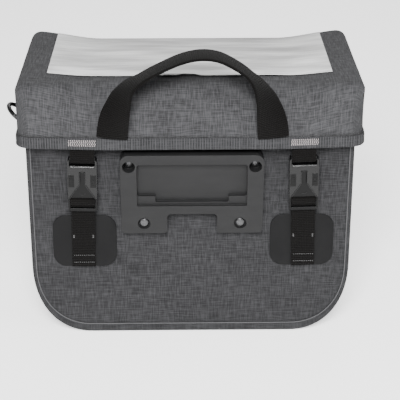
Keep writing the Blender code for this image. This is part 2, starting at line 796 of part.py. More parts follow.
def cylinder_mesh(name, diameter, x, z, y_low, y_high, sides):
    """A cylinder along Y."""
    bm = bmesh.new()
    place = (Matrix.Translation((x, (y_low + y_high) / 2, z))
             @ Matrix.Rotation(math.pi / 2, 4, "X"))
    bmesh.ops.create_cone(
        bm, cap_ends=True, segments=sides, radius1=diameter / 2, radius2=diameter / 2,
        depth=abs(y_high - y_low), matrix=place)
    return mesh_from(bm, name)


def cut_screw_hole(workshop, plate, name, x, z):
    """A well for the screw's head, and a bore for its shank through the floor."""
    floor = REAR - FIT - WELL_FLOOR
    well = cylinder_mesh(
        name + "_well", WELL_DIAMETER, x, z, floor - CUT_REACH, floor, WELL_SIDES)
    workshop.cut(plate, name + "_well", well)
    hole = cylinder_mesh(
        name + "_bore", SCREW_SHANK + 2 * SCREW_BORE_GAP, x, z,
        floor - WELL_FLOOR, REAR + WALL, BORE_SIDES)
    workshop.cut(plate, name + "_bore", hole)


def make_screws(workshop):
    """Domed screws, turned about the bore, with their heads on the wells' floors.

    A shank is as long as the floor is thick, so that it ends inside the plate.
    """
    radius = SCREW_HEAD / 2
    shank = SCREW_SHANK / 2
    turns = [math.pi / 2 * step / ARC_STEPS for step in range(1, ARC_STEPS + 1)]
    profile = [(0.0, SCREW_DOME)]
    profile += [(radius * math.sin(turn), SCREW_DOME * math.cos(turn)) for turn in turns]
    profile += [(shank, 0.0), (shank, -WELL_FLOOR), (0.0, -WELL_FLOOR)]
    for name, x, z in screw_places():
        bm = bmesh.new()
        verts = [bm.verts.new((across, 0, up)) for across, up in profile]
        for first, second in zip(verts, verts[1:]):
            bm.edges.new((first, second))
        mesh = bpy.data.meshes.new(name)
        bm.to_mesh(mesh)
        bm.free()
        screw = workshop.place(name, mesh, "screw_steel", smooth=False)
        turn = screw.modifiers.new("turn", "SCREW")
        turn.steps = WELL_SIDES
        turn.render_steps = WELL_SIDES
        turn.use_merge_vertices = True
        turn.merge_threshold = 0.00001
        screw.location = (PLATE_SHIFT + x, REAR - FIT - WELL_FLOOR - FIT, z)
        screw.rotation_euler = (math.pi / 2, 0, 0)


# Straps, buckles and patches

def strap_x(side):
    """Middle of a strap at the hem."""
    return STRAP_SHIFT + side * STRAP_SPACING / 2


def strap_anchor(side):
    """Where a strap leaves the hem: the middle of the hem's wall at its lower edge."""
    x = strap_x(side)
    return Vector((x, rear_hem(x) + LID_WALL / 2, LID_HEM_HEIGHT))


def strap_frame(side, tilt=BUCKLE_TILT):
    """Matrix of a buckle's frame: origin at the hem, -Z down the strap."""
    splay = Matrix.Rotation(math.radians(STRAP_SPLAY * -side), 4, "Y")
    lean = Matrix.Rotation(math.radians(tilt), 4, "X")
    return Matrix.Translation(strap_anchor(side)) @ splay @ lean


def wrapped(corners, reach, start, steps=3):
    """Points of an arc round each of a bar's corners, a quarter turn each."""
    points = []
    for index, (y, z) in enumerate(corners):
        for step in range(steps + 1):
            angle = math.radians(start) + math.pi / 2 * (index + step / steps)
            points.append((y + reach * math.cos(angle), z + reach * math.sin(angle)))
    return points


def make_strap_upper(workshop, name, side):
    """Webbing from the hem, round the female half's bar and back."""
    half_y = BUCKLE_BAR_DEPTH / 2
    reach = FIT + STRAP_WEB / 2
    foot = -BUCKLE_DROP - FEMALE_BAR
    loop = wrapped([(-half_y, foot), (half_y, foot)], reach, 180)
    shoulder = (half_y + reach, -BUCKLE_DROP)
    top = (STRAP_WEB / 2 + FIT, -STRAP_TOP_GAP)
    route = [(-top[0], top[1]), (-shoulder[0], shoulder[1]), *loop, shoulder, top]
    path = [Vector((0, y, z)) for y, z in route]
    strap = web(workshop, name, path, STRAP_WIDTH, STRAP_WEB, (1, 0, 0))
    strap.matrix_world = strap_frame(side)


def mouth_edge(x):
    """Lower edge of the female half at x, measured up from its foot."""
    lip = BUCKLE_WIDTH / 2 - BUCKLE_SHELL / 2
    return MOUTH_RISE * (lip - x) / (lip - MOUTH_APEX_WIDTH / 2)


def make_buckle_female(workshop, name, side):
    """The upper half: a bar for the strap, and a hollow body with a keyway in its rear."""
    half = BUCKLE_WIDTH / 2
    depth = BUCKLE_DEPTH / 2
    top = -BUCKLE_DROP
    foot = top - FEMALE_LENGTH
    apex = foot + MOUTH_RISE
    outline = mirrored([
        (half, top, BUCKLE_CORNER),
        (half, foot, 0),
        (half - BUCKLE_SHELL / 2, foot, 0),
        (MOUTH_APEX_WIDTH / 2, apex, 0),
    ])
    body = workshop.place(
        name, plate_mesh(name, rounded_outline(outline, 3), -depth, depth), "gloss_plastic")
    body.matrix_world = strap_frame(side)
    past = depth + FIT
    opening = STRAP_WIDTH / 2 + 2 * FIT
    bar = BUCKLE_BAR_DEPTH / 2
    slot_top = top - FEMALE_BAR
    slot_foot = slot_top - FEMALE_SLOT
    cavity_top = apex + KEYWAY_LENGTH
    room = half - 2 * BUCKLE_SHELL
    inner = depth - BUCKLE_SHELL
    key = MOUTH_APEX_WIDTH / 2
    cuts = [
        ("slot", (-opening, -past, slot_foot), (opening, past, slot_top)),
        ("bar_rear", (-opening, -past, slot_foot), (opening, -bar, top + FIT)),
        ("bar_front", (-opening, bar, slot_foot), (opening, past, top + FIT)),
        ("cavity", (-room, -inner, foot - FIT), (room, inner, cavity_top)),
        ("keyway", (-key, -past, foot - FIT), (key, 0, cavity_top)),
    ]
    for cut_name, low, high in cuts:
        workshop.cut(body, name + "_" + cut_name, box_mesh(cut_name, low, high))


def male_bar_drop():
    """Middle of the male half's strap bar, down from the hem."""
    female_foot = BUCKLE_DROP + FEMALE_LENGTH
    return female_foot + 3 * FIT + STRAP_WEB + BUCKLE_BAR / 2


def make_buckle_male(workshop, name, side):
    """The lower half: a V-shaped head, a guide, two arms and a frame for the strap."""
    half = BUCKLE_WIDTH / 2
    inner_depth = BUCKLE_DEPTH / 2 - BUCKLE_SHELL - FIT
    female_foot = -BUCKLE_DROP - FEMALE_LENGTH
    shoulder = female_foot - 2 * FIT
    lip = half - BUCKLE_SHELL / 2
    foot = female_foot - MALE_TAIL
    tip = female_foot + MOUTH_RISE + KEYWAY_LENGTH - 4 * FIT
    guide = MOUTH_APEX_WIDTH / 2 - FIT
    arm_out = half - 2 * BUCKLE_SHELL - FIT
    arm_in = arm_out - 2 * BUCKLE_SHELL

    def head(x):
        return shoulder + mouth_edge(x)

    outline = mirrored([
        (guide, tip, guide / 2),
        (guide, head(guide), 0),
        (arm_in, head(arm_in), 0),
        (arm_in, tip - KEYWAY_LENGTH / 3, 0),
        (arm_out, tip - KEYWAY_LENGTH / 2, 0),
        (arm_out, head(arm_out), 0),
        (lip, shoulder, 0),
        (half, shoulder, 0),
        (half, foot, BUCKLE_CORNER),
    ])
    body = workshop.place(
        name, plate_mesh(name, rounded_outline(outline, 3), -inner_depth, inner_depth),
        "gloss_plastic")
    body.matrix_world = strap_frame(side)
    opening = STRAP_WIDTH / 2 + 2 * FIT
    bar = -male_bar_drop()
    bar_top = bar + BUCKLE_BAR / 2
    bar_foot = bar - BUCKLE_BAR / 2
    window_top = bar_top + STRAP_WEB + 2 * FIT
    window_foot = foot + LOWER_BAR
    past = BUCKLE_DEPTH
    bar_depth = BUCKLE_BAR_DEPTH / 2
    lower_face = LOWER_BAR_DEPTH - inner_depth
    cuts = [
        ("upper_window", (-opening, -past, bar_top), (opening, past, window_top)),
        ("lower_window", (-opening, -past, window_foot), (opening, past, bar_foot)),
        ("bar_rear", (-opening, -past, window_foot), (opening, -bar_depth, window_top)),
        ("bar_front", (-opening, bar_depth, window_foot), (opening, past, window_top)),
        ("lower_bar", (-opening, lower_face, foot - FIT), (opening, past, window_top)),
    ]
    for cut_name, low, high in cuts:
        workshop.cut(body, name + "_" + cut_name, box_mesh(cut_name, low, high))


def make_strap_lower(workshop, name, side):
    """Webbing round the male half's bar, then down the rear panel in two layers."""
    bar = -male_bar_drop()
    half_y = BUCKLE_BAR_DEPTH / 2
    half_z = BUCKLE_BAR / 2
    reach = FIT + STRAP_WEB / 2
    lean = Matrix.Rotation(math.radians(BUCKLE_TILT), 4, "X")
    inner_depth = BUCKLE_DEPTH / 2 - BUCKLE_SHELL - FIT
    passing_y = LOWER_BAR_DEPTH - inner_depth + reach
    foot = -BUCKLE_DROP - FEMALE_LENGTH - MALE_TAIL
    corners = [(half_y, bar + half_z), (-half_y, bar + half_z), (-half_y, bar - half_z)]
    loop = [(passing_y + STRAP_WEB + FIT, foot), *wrapped(corners, reach, 0),
            (passing_y, foot + LOWER_BAR), (passing_y, foot)]
    leaning = [lean @ Vector((0, y, z)) for y, z in loop]
    anchor = strap_anchor(side)
    inner = REAR - anchor.y - PATCH_SHEET - 2 * FIT - STRAP_WEB / 2
    outer = inner - STRAP_WEB - FIT
    landing = PATCH_BASE_HEIGHT + PATCH_HEIGHT - anchor.z
    turn = STRAP_TURN_HEIGHT - anchor.z
    end = STRAP_END_HEIGHT - anchor.z
    path = [Vector((0, inner, turn)), Vector((0, inner, landing)), *leaning,
            Vector((0, outer, landing)), Vector((0, outer, turn - FIT)),
            Vector((0, inner, turn - STRAP_STEP)), Vector((0, inner, end))]
    strap = web(workshop, name, path, STRAP_WIDTH, STRAP_WEB, (1, 0, 0))
    strap.matrix_world = strap_frame(side, tilt=0.0)


def make_patch(workshop, name, side):
    """The coated sheet under a strap's end."""
    half = PATCH_WIDTH / 2
    top = PATCH_BASE_HEIGHT + PATCH_HEIGHT
    outline = rounded_outline(mirrored([
        (half, top, PATCH_RADIUS),
        (half, PATCH_BASE_HEIGHT, PATCH_RADIUS),
    ]))
    mesh = plate_mesh(name, outline, REAR - FIT - PATCH_SHEET, REAR - FIT)
    splayed = (LID_HEM_HEIGHT - PATCH_BASE_HEIGHT) * math.tan(math.radians(STRAP_SPLAY))
    mesh.transform(Matrix.Translation((strap_x(side) + side * splayed / 2, 0, 0)))
    workshop.place(name, mesh, "patch")


def make_fastenings(workshop):
    """Straps, buckles and patches on both sides."""
    for side_name, side in SIDES:
        make_strap_upper(workshop, "strap_upper_" + side_name, side)
        make_buckle_female(workshop, "buckle_female_" + side_name, side)
        make_buckle_male(workshop, "buckle_male_" + side_name, side)
        make_strap_lower(workshop, "strap_lower_" + side_name, side)
        make_patch(workshop, "patch_" + side_name, side)


# D-rings and tabs

def tab_layer_x():
    """Middle of the tab's inner layer, out from the bag's middle."""
    return BODY_WIDTH / 2 + FIT + TAB_WEB / 2


def ring_bar_x():
    """Middle of the ring's bar, out from the bag's middle."""
    return tab_layer_x() + TAB_WEB / 2 + FIT + RING_WIRE / 2


def make_ring_tab(workshop, name, side):
    """Webbing sewn to the gusset, up round the ring's bar and back down."""
    bar_x = ring_bar_x()
    reach = RING_WIRE / 2 + FIT + TAB_WEB / 2
    inner = tab_layer_x()
    outer = inner + TAB_WEB + FIT
    parting = RING_BAR_HEIGHT - TAB_PARTING
    path = [Vector((side * inner, 0, TAB_BASE_HEIGHT)), Vector((side * inner, 0, parting))]
    for step in range(TAB_STEPS + 1):
        angle = math.pi * (1 - TAB_WRAP * step / TAB_STEPS)
        path.append(Vector((side * (bar_x + reach * math.cos(angle)), 0,
                            RING_BAR_HEIGHT + reach * math.sin(angle))))
    path.append(Vector((side * outer, 0, parting)))
    path.append(Vector((side * outer, 0, TAB_BASE_HEIGHT)))
    web(workshop, name, path, TAB_WIDTH, TAB_WEB, (0, 1, 0))


def make_d_ring(workshop, name, side, angle):
    """A closed wire: a straight bar through the tab and a round bow."""
    corner = RING_WIRE / 2
    half = TAB_WIDTH / 2 + RING_FIT + corner
    reach = RING_REACH - RING_WIRE
    flat = [(0.0, y) for y in (half - corner, 0.0, corner - half)]
    quarter = [math.pi / 2 * step / ARC_STEPS for step in range(1, ARC_STEPS + 1)]
    foot = [(corner * (1 - math.cos(turn)), -half + corner * (1 - math.sin(turn)))
            for turn in quarter]
    bow_start = max(reach - half, corner)
    bow = [(bow_start + (reach - bow_start) * math.sin(turn), -half * math.cos(turn))
           for turn in (math.pi * step / BOW_STEPS for step in range(BOW_STEPS + 1))]
    head = [(along, -y) for along, y in reversed(foot)]
    outline = flat + foot + bow + head
    least_step = corner / ARC_STEPS
    kept = [outline[0]]
    for point in outline[1:]:
        if math.dist(point, kept[-1]) > least_step:
            kept.append(point)
    tilt = math.radians(angle)
    curve = bpy.data.curves.new(name, "CURVE")
    curve.dimensions = "3D"
    curve.bevel_depth = RING_WIRE / 2
    curve.bevel_resolution = 2
    line = curve.splines.new("POLY")
    line.points.add(len(kept) - 1)
    for point, (along, y) in zip(line.points, kept):
        x = side * (ring_bar_x() + along * math.cos(tilt))
        point.co = (x, y, RING_BAR_HEIGHT + along * math.sin(tilt), 1.0)
    line.use_cyclic_u = True
    ring = bpy.data.objects.new(name, curve)
    curve.materials.append(workshop.materials["gloss_plastic"])
    workshop.parts.objects.link(ring)


def hanging_angle():
    """Degrees above level of a ring that hangs down against its tab's outer layer."""
    tab_face = tab_layer_x() + TAB_WEB + FIT + TAB_WEB / 2
    out = tab_face + 2 * FIT + RING_WIRE / 2 - ring_bar_x()
    return math.degrees(math.asin(out / (RING_REACH - RING_WIRE))) - 90


def make_rings(workshop):
    """The tabs and rings: the left one stands out, the right one hangs."""
    angles = {"left": RING_LEFT_ANGLE, "right": hanging_angle()}
    for side_name, side in SIDES:
        make_ring_tab(workshop, "ring_tab_" + side_name, side)
        make_d_ring(workshop, "d_ring_" + side_name, side, angles[side_name])


def main():
    """Builds the bag."""
    clear_scene()
    workshop = Workshop()
    make_body(workshop)
    make_lid(workshop)
    make_map_window(workshop)
    make_handle(workshop)
    make_adapter_plate(workshop)
    make_screws(workshop)
    make_fastenings(workshop)
    make_rings(workshop)


main()
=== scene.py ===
"""Looks of the bicycle handlebar bag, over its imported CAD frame.

Metres, +Z up, handlebar side facing -Y, origin at the middle of the flat base.
"""
import math

import bmesh
import bpy
from bpy.props import FloatProperty, FloatVectorProperty, PointerProperty
from mathutils import Matrix, Vector, noise


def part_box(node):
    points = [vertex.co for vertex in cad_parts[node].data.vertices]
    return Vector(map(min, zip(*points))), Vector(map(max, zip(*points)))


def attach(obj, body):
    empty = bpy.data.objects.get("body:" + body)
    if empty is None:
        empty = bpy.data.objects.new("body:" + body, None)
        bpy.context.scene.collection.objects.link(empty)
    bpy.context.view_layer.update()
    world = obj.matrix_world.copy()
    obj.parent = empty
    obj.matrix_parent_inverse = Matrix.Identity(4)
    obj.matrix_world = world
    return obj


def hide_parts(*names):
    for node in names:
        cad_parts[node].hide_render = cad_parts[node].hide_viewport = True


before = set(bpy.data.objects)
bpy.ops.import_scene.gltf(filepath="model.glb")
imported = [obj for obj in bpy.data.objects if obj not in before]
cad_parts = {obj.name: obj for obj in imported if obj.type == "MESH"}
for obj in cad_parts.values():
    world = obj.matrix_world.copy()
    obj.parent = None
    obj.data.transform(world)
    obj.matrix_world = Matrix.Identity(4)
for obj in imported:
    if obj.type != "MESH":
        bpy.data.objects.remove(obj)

bl_info = {
    "name": "Handlebar bag",
    "version": (1, 0, 0),
    "blender": (4, 5, 0),
    "location": "View3D > Sidebar > Bag",
    "description": "Dresses the packed handlebar bag with cloth, webbing and plastic",
    "category": "Object",
}

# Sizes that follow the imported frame
GUSSET_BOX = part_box("gusset")
LID_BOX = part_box("lid")
FILM_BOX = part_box("map_window")
PATCH_BOXES = {side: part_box("patch_" + side) for side in ("left", "right")}
REAR = GUSSET_BOX[0].y
FRONT = GUSSET_BOX[1].y
BODY_HALF = GUSSET_BOX[1].x
LID_HALF = LID_BOX[1].x
LID_FRONT = LID_BOX[1].y
HEM_HEIGHT = 0.177  # lower edge of the lid's wall

# Body
FIT = 0.0003
WALL = 0.0025
CORNER_RUN = 0.050
CORNER_RISE = 0.065
CORNER_POWER = 2.2
SEAM_SIDE = 0.004
SEAM_BASE = 0.0095
SEAM_PROUD = 0.0006  # how far the gusset's lip stands off the rear panel
EDGE_RADIUS = 0.004
FRONT_BULGE = 0.006
REAR_RIM_HEIGHT = 0.198
RIM_RUN = 0.030
RIM_FIT = 0.0008
PANEL_GRID = (72, 56)
SEAM_CORD = 0.00045

# Lid
LID_HEIGHT = 0.228
LID_FALL = 0.003
LID_REAR_GAP = 0.009
HEM_BULGE = 0.004
PLAN_RADIUS = 0.010
SHOULDER = 0.008
SLACK_SHOULDER = 0.031
SLACK_RUN = 0.075
SAG_REAR = 0.0045
SAG_FRONT = 0.0080
SAG_EDGE = 0.45
LID_LINES = (56, 30)
SKIRT_STEPS = 4
HEM_BAND = 0.0092
HEM_WALL = 0.0004
SOFT_ANGLE = 60  # degrees up to which the lid's folds look smooth

# Map window
FILM_GRID = (120, 60)
FILM_SHEET = 0.0006
FILM_RISE = 0.0013
FILM_CURL = 0.0016
NOTCH_X = -0.001
NOTCH_HALF = 0.007
NOTCH_DEPTH = 0.0035

# Straps and buckles
STRAP_SPACING = 0.1785
STRAP_SHIFT = 0.0022
STRAP_WIDTH = 0.0195
STRAP_WEB = 0.0014
STRAP_SPLAY = 1.4
STRAP_TOP_GAP = 0.0009
STRAP_END_HEIGHT = 0.0665
STRAP_TURN_HEIGHT = 0.093
STRAP_STEP = 0.0056
BUCKLE_TILT = 5.0
BUCKLE_DROP = 0.0084
BUCKLE_DEPTH = 0.0080
BUCKLE_SHELL = 0.0014
FEMALE_BAR = 0.0026
FEMALE_LENGTH = 0.0355
MALE_TAIL = 0.0128
BUCKLE_BAR = 0.0030
BUCKLE_BAR_DEPTH = 0.0024
LOWER_BAR = 0.0026
LOWER_BAR_DEPTH = 0.0020
BUCKLE_WIDTH = 0.0236
FEMALE_SLOT = 0.0028
KEY_WIDTH = 0.0048
KEYWAY_LENGTH = 0.0118
MOUTH_RISE = 0.0128
BRIDGE_RADIUS = 0.0012
PATCH_SHEET = 0.0010
PATCH_TOP = 0.113
PATCH_RADIUS = 0.011
WINDOW_SIDES = (0.0052, 0.0006)  # a side window's edges, in from the buckle's side
WINDOW_DROPS = (0.0250, 0.0135)  # its lower and upper end, down from the buckle's top
WINDOW_GRID = (8, 48)
WINDOW_CROWN = 0.0004
GRIP_RIDGES = 6
GRIP_HEIGHT = 0.00022

# Handle
HANDLE_SPAN = 0.129
HANDLE_SHIFT = 0.0018
HANDLE_BASE_HEIGHT = 0.187
HANDLE_RISE = 0.064
HANDLE_LEAN = 0.015
HANDLE_WIDTH = 0.025
HANDLE_WEB = 0.0020
HANDLE_FIT = 0.0007
HANDLE_STEPS = 5
HANDLE_COLUMNS = 10
HANDLE_CROWN = 0.0008

# D-ring tabs
TAB_WIDTH = 0.0200
TAB_WEB = 0.0012
RING_WIRE = 0.0038
RING_BAR_HEIGHT = 0.168
TAB_BASE_HEIGHT = 0.135
TAB_PARTING = 0.0095
TAB_WRAP = 1.15  # half turns round the ring's bar

# Stitches
SKIN = 0.0001  # how far a small detail stands off what it lies on
HEM_STITCH_HEIGHT = 0.0101
HEM_STITCH_PITCH = 0.0021
STRAP_STITCH_GRID = (15, 4)
STRAP_STITCH_PITCH = (0.0015, 0.0014)
STRAP_STITCH_BASE = 0.0035
STRAP_STITCH_STAND = 0.0012
ROW_HALF = 0.0085
TAIL_HEIGHTS = (0.0770, 0.0705)
TACK_HEIGHTS = (0.0945, 0.0955, 0.0965)
TACK_HALF = 0.0080
TAB_HEIGHTS = (0.1375, 0.1445, 0.1515)

SIDES = (("left", -1), ("right", 1))
TINY = 1e-7
WAVE_SCALE = 0.314159  # the scale that gives a wave texture bands of 1 m

# Lights: name, place, size, share of the key light's power
LIGHTS = (
    ("key", (-0.10, -1.50, 1.32), 0.7, 1.00),
    ("fill", (1.20, -0.80, 0.90), 1.0, 0.10),
    ("rim", (0.10, 1.20, 1.10), 1.0, 0.08),
)
LIGHT_TARGET = (0, 0, 0.12)
CAMERA_PLACE = (-0.006583, -1.081933, 0.596483)
CAMERA_TARGET = (0.007787, -0.073, 0.125963)
CAMERA_LENS = 121.33

# The hem's fold, from the skirt's outside round its lower edge to its inside.
HEM_ROWS = (
    # above the hem, stood off the skirt
    (HEM_BAND, 0.0003), (HEM_BAND - 0.0003, 0.0008), (0.0070, 0.0011), (0.0045, 0.0010),
    (0.0020, 0.0012), (0.0004, 0.0011), (-0.0004, 0.0004), (-0.0006, -0.0010),
    (-0.0004, -0.0026), (0.0006, -0.0033), (0.0040, -0.0033), (0.0080, -0.0032),
)

# The skirt from the lid's top edge down to its hem, as in the CAD source.
SKIRT_ROWS = (
    # firm arc in degrees, share of the firm straight, slack share in, slack share down
    (0, 0.00, 1.00, 0.000),
    (30, 0.00, 0.80, 0.035),
    (60, 0.00, 0.60, 0.120),
    (90, 0.00, 0.42, 0.250),
    (90, 0.25, 0.28, 0.390),
    (90, 0.50, 0.15, 0.570),
    (90, 0.75, 0.05, 0.760),
    (90, 1.00, 0.00, 1.000),
)

# The handle's middle line as shares of its span, rise and lean, with its turn.
HANDLE_ROWS = (
    # span, rise, lean, turn
    (-0.500, 0.000, 0.00, 0.00),
    (-0.487, 0.200, -0.04, 0.15),
    (-0.465, 0.360, 0.00, 0.38),
    (-0.435, 0.520, 0.15, 0.60),
    (-0.390, 0.650, 0.32, 0.85),
    (-0.310, 0.745, 0.55, 1.00),
    (-0.200, 0.850, 0.76, 1.00),
    (-0.070, 0.955, 0.93, 1.00),
    (0.050, 1.000, 1.00, 1.00),
    (0.160, 0.978, 0.95, 1.00),
    (0.260, 0.890, 0.80, 1.00),
    (0.345, 0.780, 0.60, 1.00),
    (0.405, 0.665, 0.36, 0.85),
    (0.450, 0.500, 0.13, 0.60),
    (0.475, 0.330, 0.00, 0.36),
    (0.490, 0.170, -0.04, 0.13),
    (0.500, 0.000, 0.00, 0.00),
)


class BagCloth(bpy.types.PropertyGroup):
    """Colours and sizes of the cloth and webbing."""

    body: FloatVectorProperty(
        name="Body", description="Main colour of the body's cloth", subtype="COLOR",
        default=(0.0225, 0.0225, 0.0237), size=3, min=0, max=1)
    lid: FloatVectorProperty(
        name="Lid", description="Main colour of the lid's cloth", subtype="COLOR",
        default=(0.035, 0.035, 0.0368), size=3, min=0, max=1)
    webbing: FloatVectorProperty(
        name="Webbing", description="Colour of straps, tabs and handle", subtype="COLOR",
        default=(0.0019, 0.0017, 0.0016), size=3, min=0, max=1)
    patch: FloatVectorProperty(
        name="Patch", description="Colour of the coated patches", subtype="COLOR",
        default=(0.0030, 0.0030, 0.0032), size=3, min=0, max=1)
    # The film's light grey is partly its own haze and partly a painted reflection of bright
    # surroundings.
    film: FloatVectorProperty(
        name="Film", description="Milky tint of the map window", subtype="COLOR",
        default=(0.56, 0.56, 0.555), size=3, min=0, max=1)
    wave: FloatProperty(
        name="Wave", description="Depth of the soft dents in the cloth",
        default=0.0010, min=0, max=0.004, unit="LENGTH")
    stitch: FloatProperty(
        name="Stitch", description="Length of a stitch",
        default=0.0014, min=0.0005, max=0.004, unit="LENGTH")


class BagPlastic(bpy.types.PropertyGroup):
    """Colours of the moulded pieces and the rounding of their edges."""

    plate: FloatVectorProperty(
        name="Plate", description="Colour of the adapter plate", subtype="COLOR",
        default=(0.0105, 0.0105, 0.0108), size=3, min=0, max=1)
    gloss: FloatVectorProperty(
        name="Buckles", description="Colour of buckles and D-rings", subtype="COLOR",
        default=(0.0018, 0.0018, 0.0019), size=3, min=0, max=1)
    edge: FloatProperty(
        name="Edge", description="Rounding that the mouldings' edges show",
        default=0.0006, min=0, max=0.002, unit="LENGTH")


class BagStage(bpy.types.PropertyGroup):
    """Floor, light and world."""

    floor: FloatProperty(
        name="Floor", description="Side of the square floor",
        default=6.0, min=1, max=20, unit="LENGTH")
    glow: FloatProperty(
        name="Floor glow", description="Light of the bright floor", default=1.0, min=0, max=20)
    key: FloatProperty(
        name="Key light", description="Power of the key light",
        default=105.0, min=0, max=500, unit="POWER")
    sky: FloatProperty(
        name="Sky", description="Strength of the pale world", default=0.30, min=0, max=5)


# Meshes

def collection():
    """The collection that holds the looks."""
    group = bpy.data.collections.get("bag_looks")
    if group is None:
        group = bpy.data.collections.new("bag_looks")
        bpy.context.scene.collection.children.link(group)
    return group


def blend(low, high, share):
    """The value at a share of the way from low to high."""
    return low + (high - low) * share


def smoothstep(value):
    """0 to 1 with soft ends."""
    value = min(max(value, 0.0), 1.0)
    return value * value * (3 - 2 * value)


def ripple(x, y, scale, seed=0.0):
    """Smooth noise from 0 to 1, with dents about scale metres wide."""
    return 0.5 + 0.5 * noise.noise(Vector((x / scale, y / scale, seed)))


def smooth_rows(rows, steps):
    """Rows through a table, with steps of them between each two (Catmull-Rom)."""
    padded = [rows[0]] + list(rows) + [rows[-1]]
    smooth = []
    for index in range(len(rows) - 1):
        p0, p1, p2, p3 = padded[index:index + 4]
        for step in range(steps):
            t = step / steps
            smooth.append(tuple(
                b + 0.5 * t * (c - a + t * (2 * a - 5 * b + 4 * c - d + t * (3 * (b - c) + d - a)))
                for a, b, c, d in zip(p0, p1, p2, p3)))
    smooth.append(rows[-1])
    return smooth


def piece_from(name, bm, materials, flat=None):
    """An object from a mesh, with its cut pattern as UV map where flat gives it."""
    if flat is not None:
        layer = bm.loops.layers.uv.new("cut")
        for face in bm.faces:
            for loop in face.loops:
                loop[layer].uv = flat[loop.vert]
    mesh = bpy.data.meshes.new(name)
    bm.to_mesh(mesh)
    bm.free()
    piece = bpy.data.objects.new(name, mesh)
    collection().objects.link(piece)
    for item in materials:
        mesh.materials.append(item)
    return piece


def turn_to(bm, facing, face=None):
    """Turns an open sheet so that a face, or else its first one, looks along facing."""
    bm.normal_update()
    bm.faces.ensure_lookup_table()
    face = face or bm.faces[0]
    if face.normal.dot(Vector(facing)) < 0:
        bmesh.ops.reverse_faces(bm, faces=bm.faces)


def grid_sheet(name, columns, rows, place, facing, materials):
    """An open sheet, bent by place(s, t), which gives a point and its place in the cut."""
    bm = bmesh.new()
    bmesh.ops.create_grid(bm, x_segments=columns, y_segments=rows, size=0.5)
    bm.verts.ensure_lookup_table()
    flat = {}
    for index, vert in enumerate(bm.verts):
        s = index % (columns + 1) / columns
        t = index // (columns + 1) / rows
        vert.co, flat[vert] = place(s, t)
    turn_to(bm, facing)
    return piece_from(name, bm, materials, flat)


def wall(piece, thickness, offset=-1.0, rim=0):
    """Gives an open sheet its thickness."""
    step = piece.modifiers.new("wall", "SOLIDIFY")
    step.thickness = thickness
    step.offset = offset
    step.use_even_offset = True
    step.material_offset_rim = rim


def round_edges(piece, width):
    """Rounds the sharp edges."""
    step = piece.modifiers.new("round", "BEVEL")
    step.width = width
    step.segments = 2
    step.limit_method = "ANGLE"
    step.angle_limit = math.radians(40)


def settle(piece, angle=45.0):
    """Applies the modifiers to the mesh and shades it smooth up to an angle."""
    bpy.context.view_layer.update()
    graph = bpy.context.evaluated_depsgraph_get()
    baked = bpy.data.meshes.new_from_object(piece.evaluated_get(graph))
    piece.modifiers.clear()
    piece.data = baked
    baked.shade_smooth()
    baked.set_sharp_from_angle(angle=math.radians(angle))
    return piece


def seat(piece, slot, *nodes):
    """Rides the finished piece on the bag in the place of CAD nodes, which it hides; the slot is
    not used.
    """
    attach(piece, "root")
    if nodes:
        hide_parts(*nodes)


def extrude(bm, edge):
    """Extrudes an open edge: the new edge, and the vertex that each new one came from."""
    grown = bmesh.ops.extrude_edge_only(bm, edges=edge)["geom"]
    fresh = {item for item in grown if isinstance(item, bmesh.types.BMVert)}
    edge = [item for item in grown
            if isinstance(item, bmesh.types.BMEdge) and fresh.issuperset(item.verts)]
    sources = {}
    for vert in fresh:
        linked = (item.other_vert(vert) for item in vert.link_edges)
        sources[vert] = next(item for item in linked if item not in fresh)
    return edge, sources


def arc_points(x, z, radius, start, end, y=0.0, steps=8):
    """Points of an upright arc at depth y, between two angles in degrees."""
    angles = [math.radians(blend(start, end, step / steps)) for step in range(steps + 1)]
    return [(x + radius * math.cos(angle), y, z + radius * math.sin(angle))
            for angle in angles]


def strip(name, route, width, thickness, materials, columns=6, crown=0.0):
    """Webbing along a route of (point, across, normal) with UVs in metres."""
    lengths = [0.0]
    for (a, _, _), (b, _, _) in zip(route, route[1:]):
        lengths.append(lengths[-1] + (b - a).length)

    def place(s, t):
        index = round(t * (len(route) - 1))
        point, across, normal = route[index]
        bow = crown * (1 - (2 * s - 1) ** 2)
        return (point + across * width * (s - 0.5) + normal * bow,
                (width * s, lengths[index]))

    piece = grid_sheet(name, columns, len(route) - 1, place, (0, 0, 0), materials)
    wall(piece, thickness, offset=0.0)
    round_edges(piece, thickness * 0.3)
    return settle(piece)


# Materials

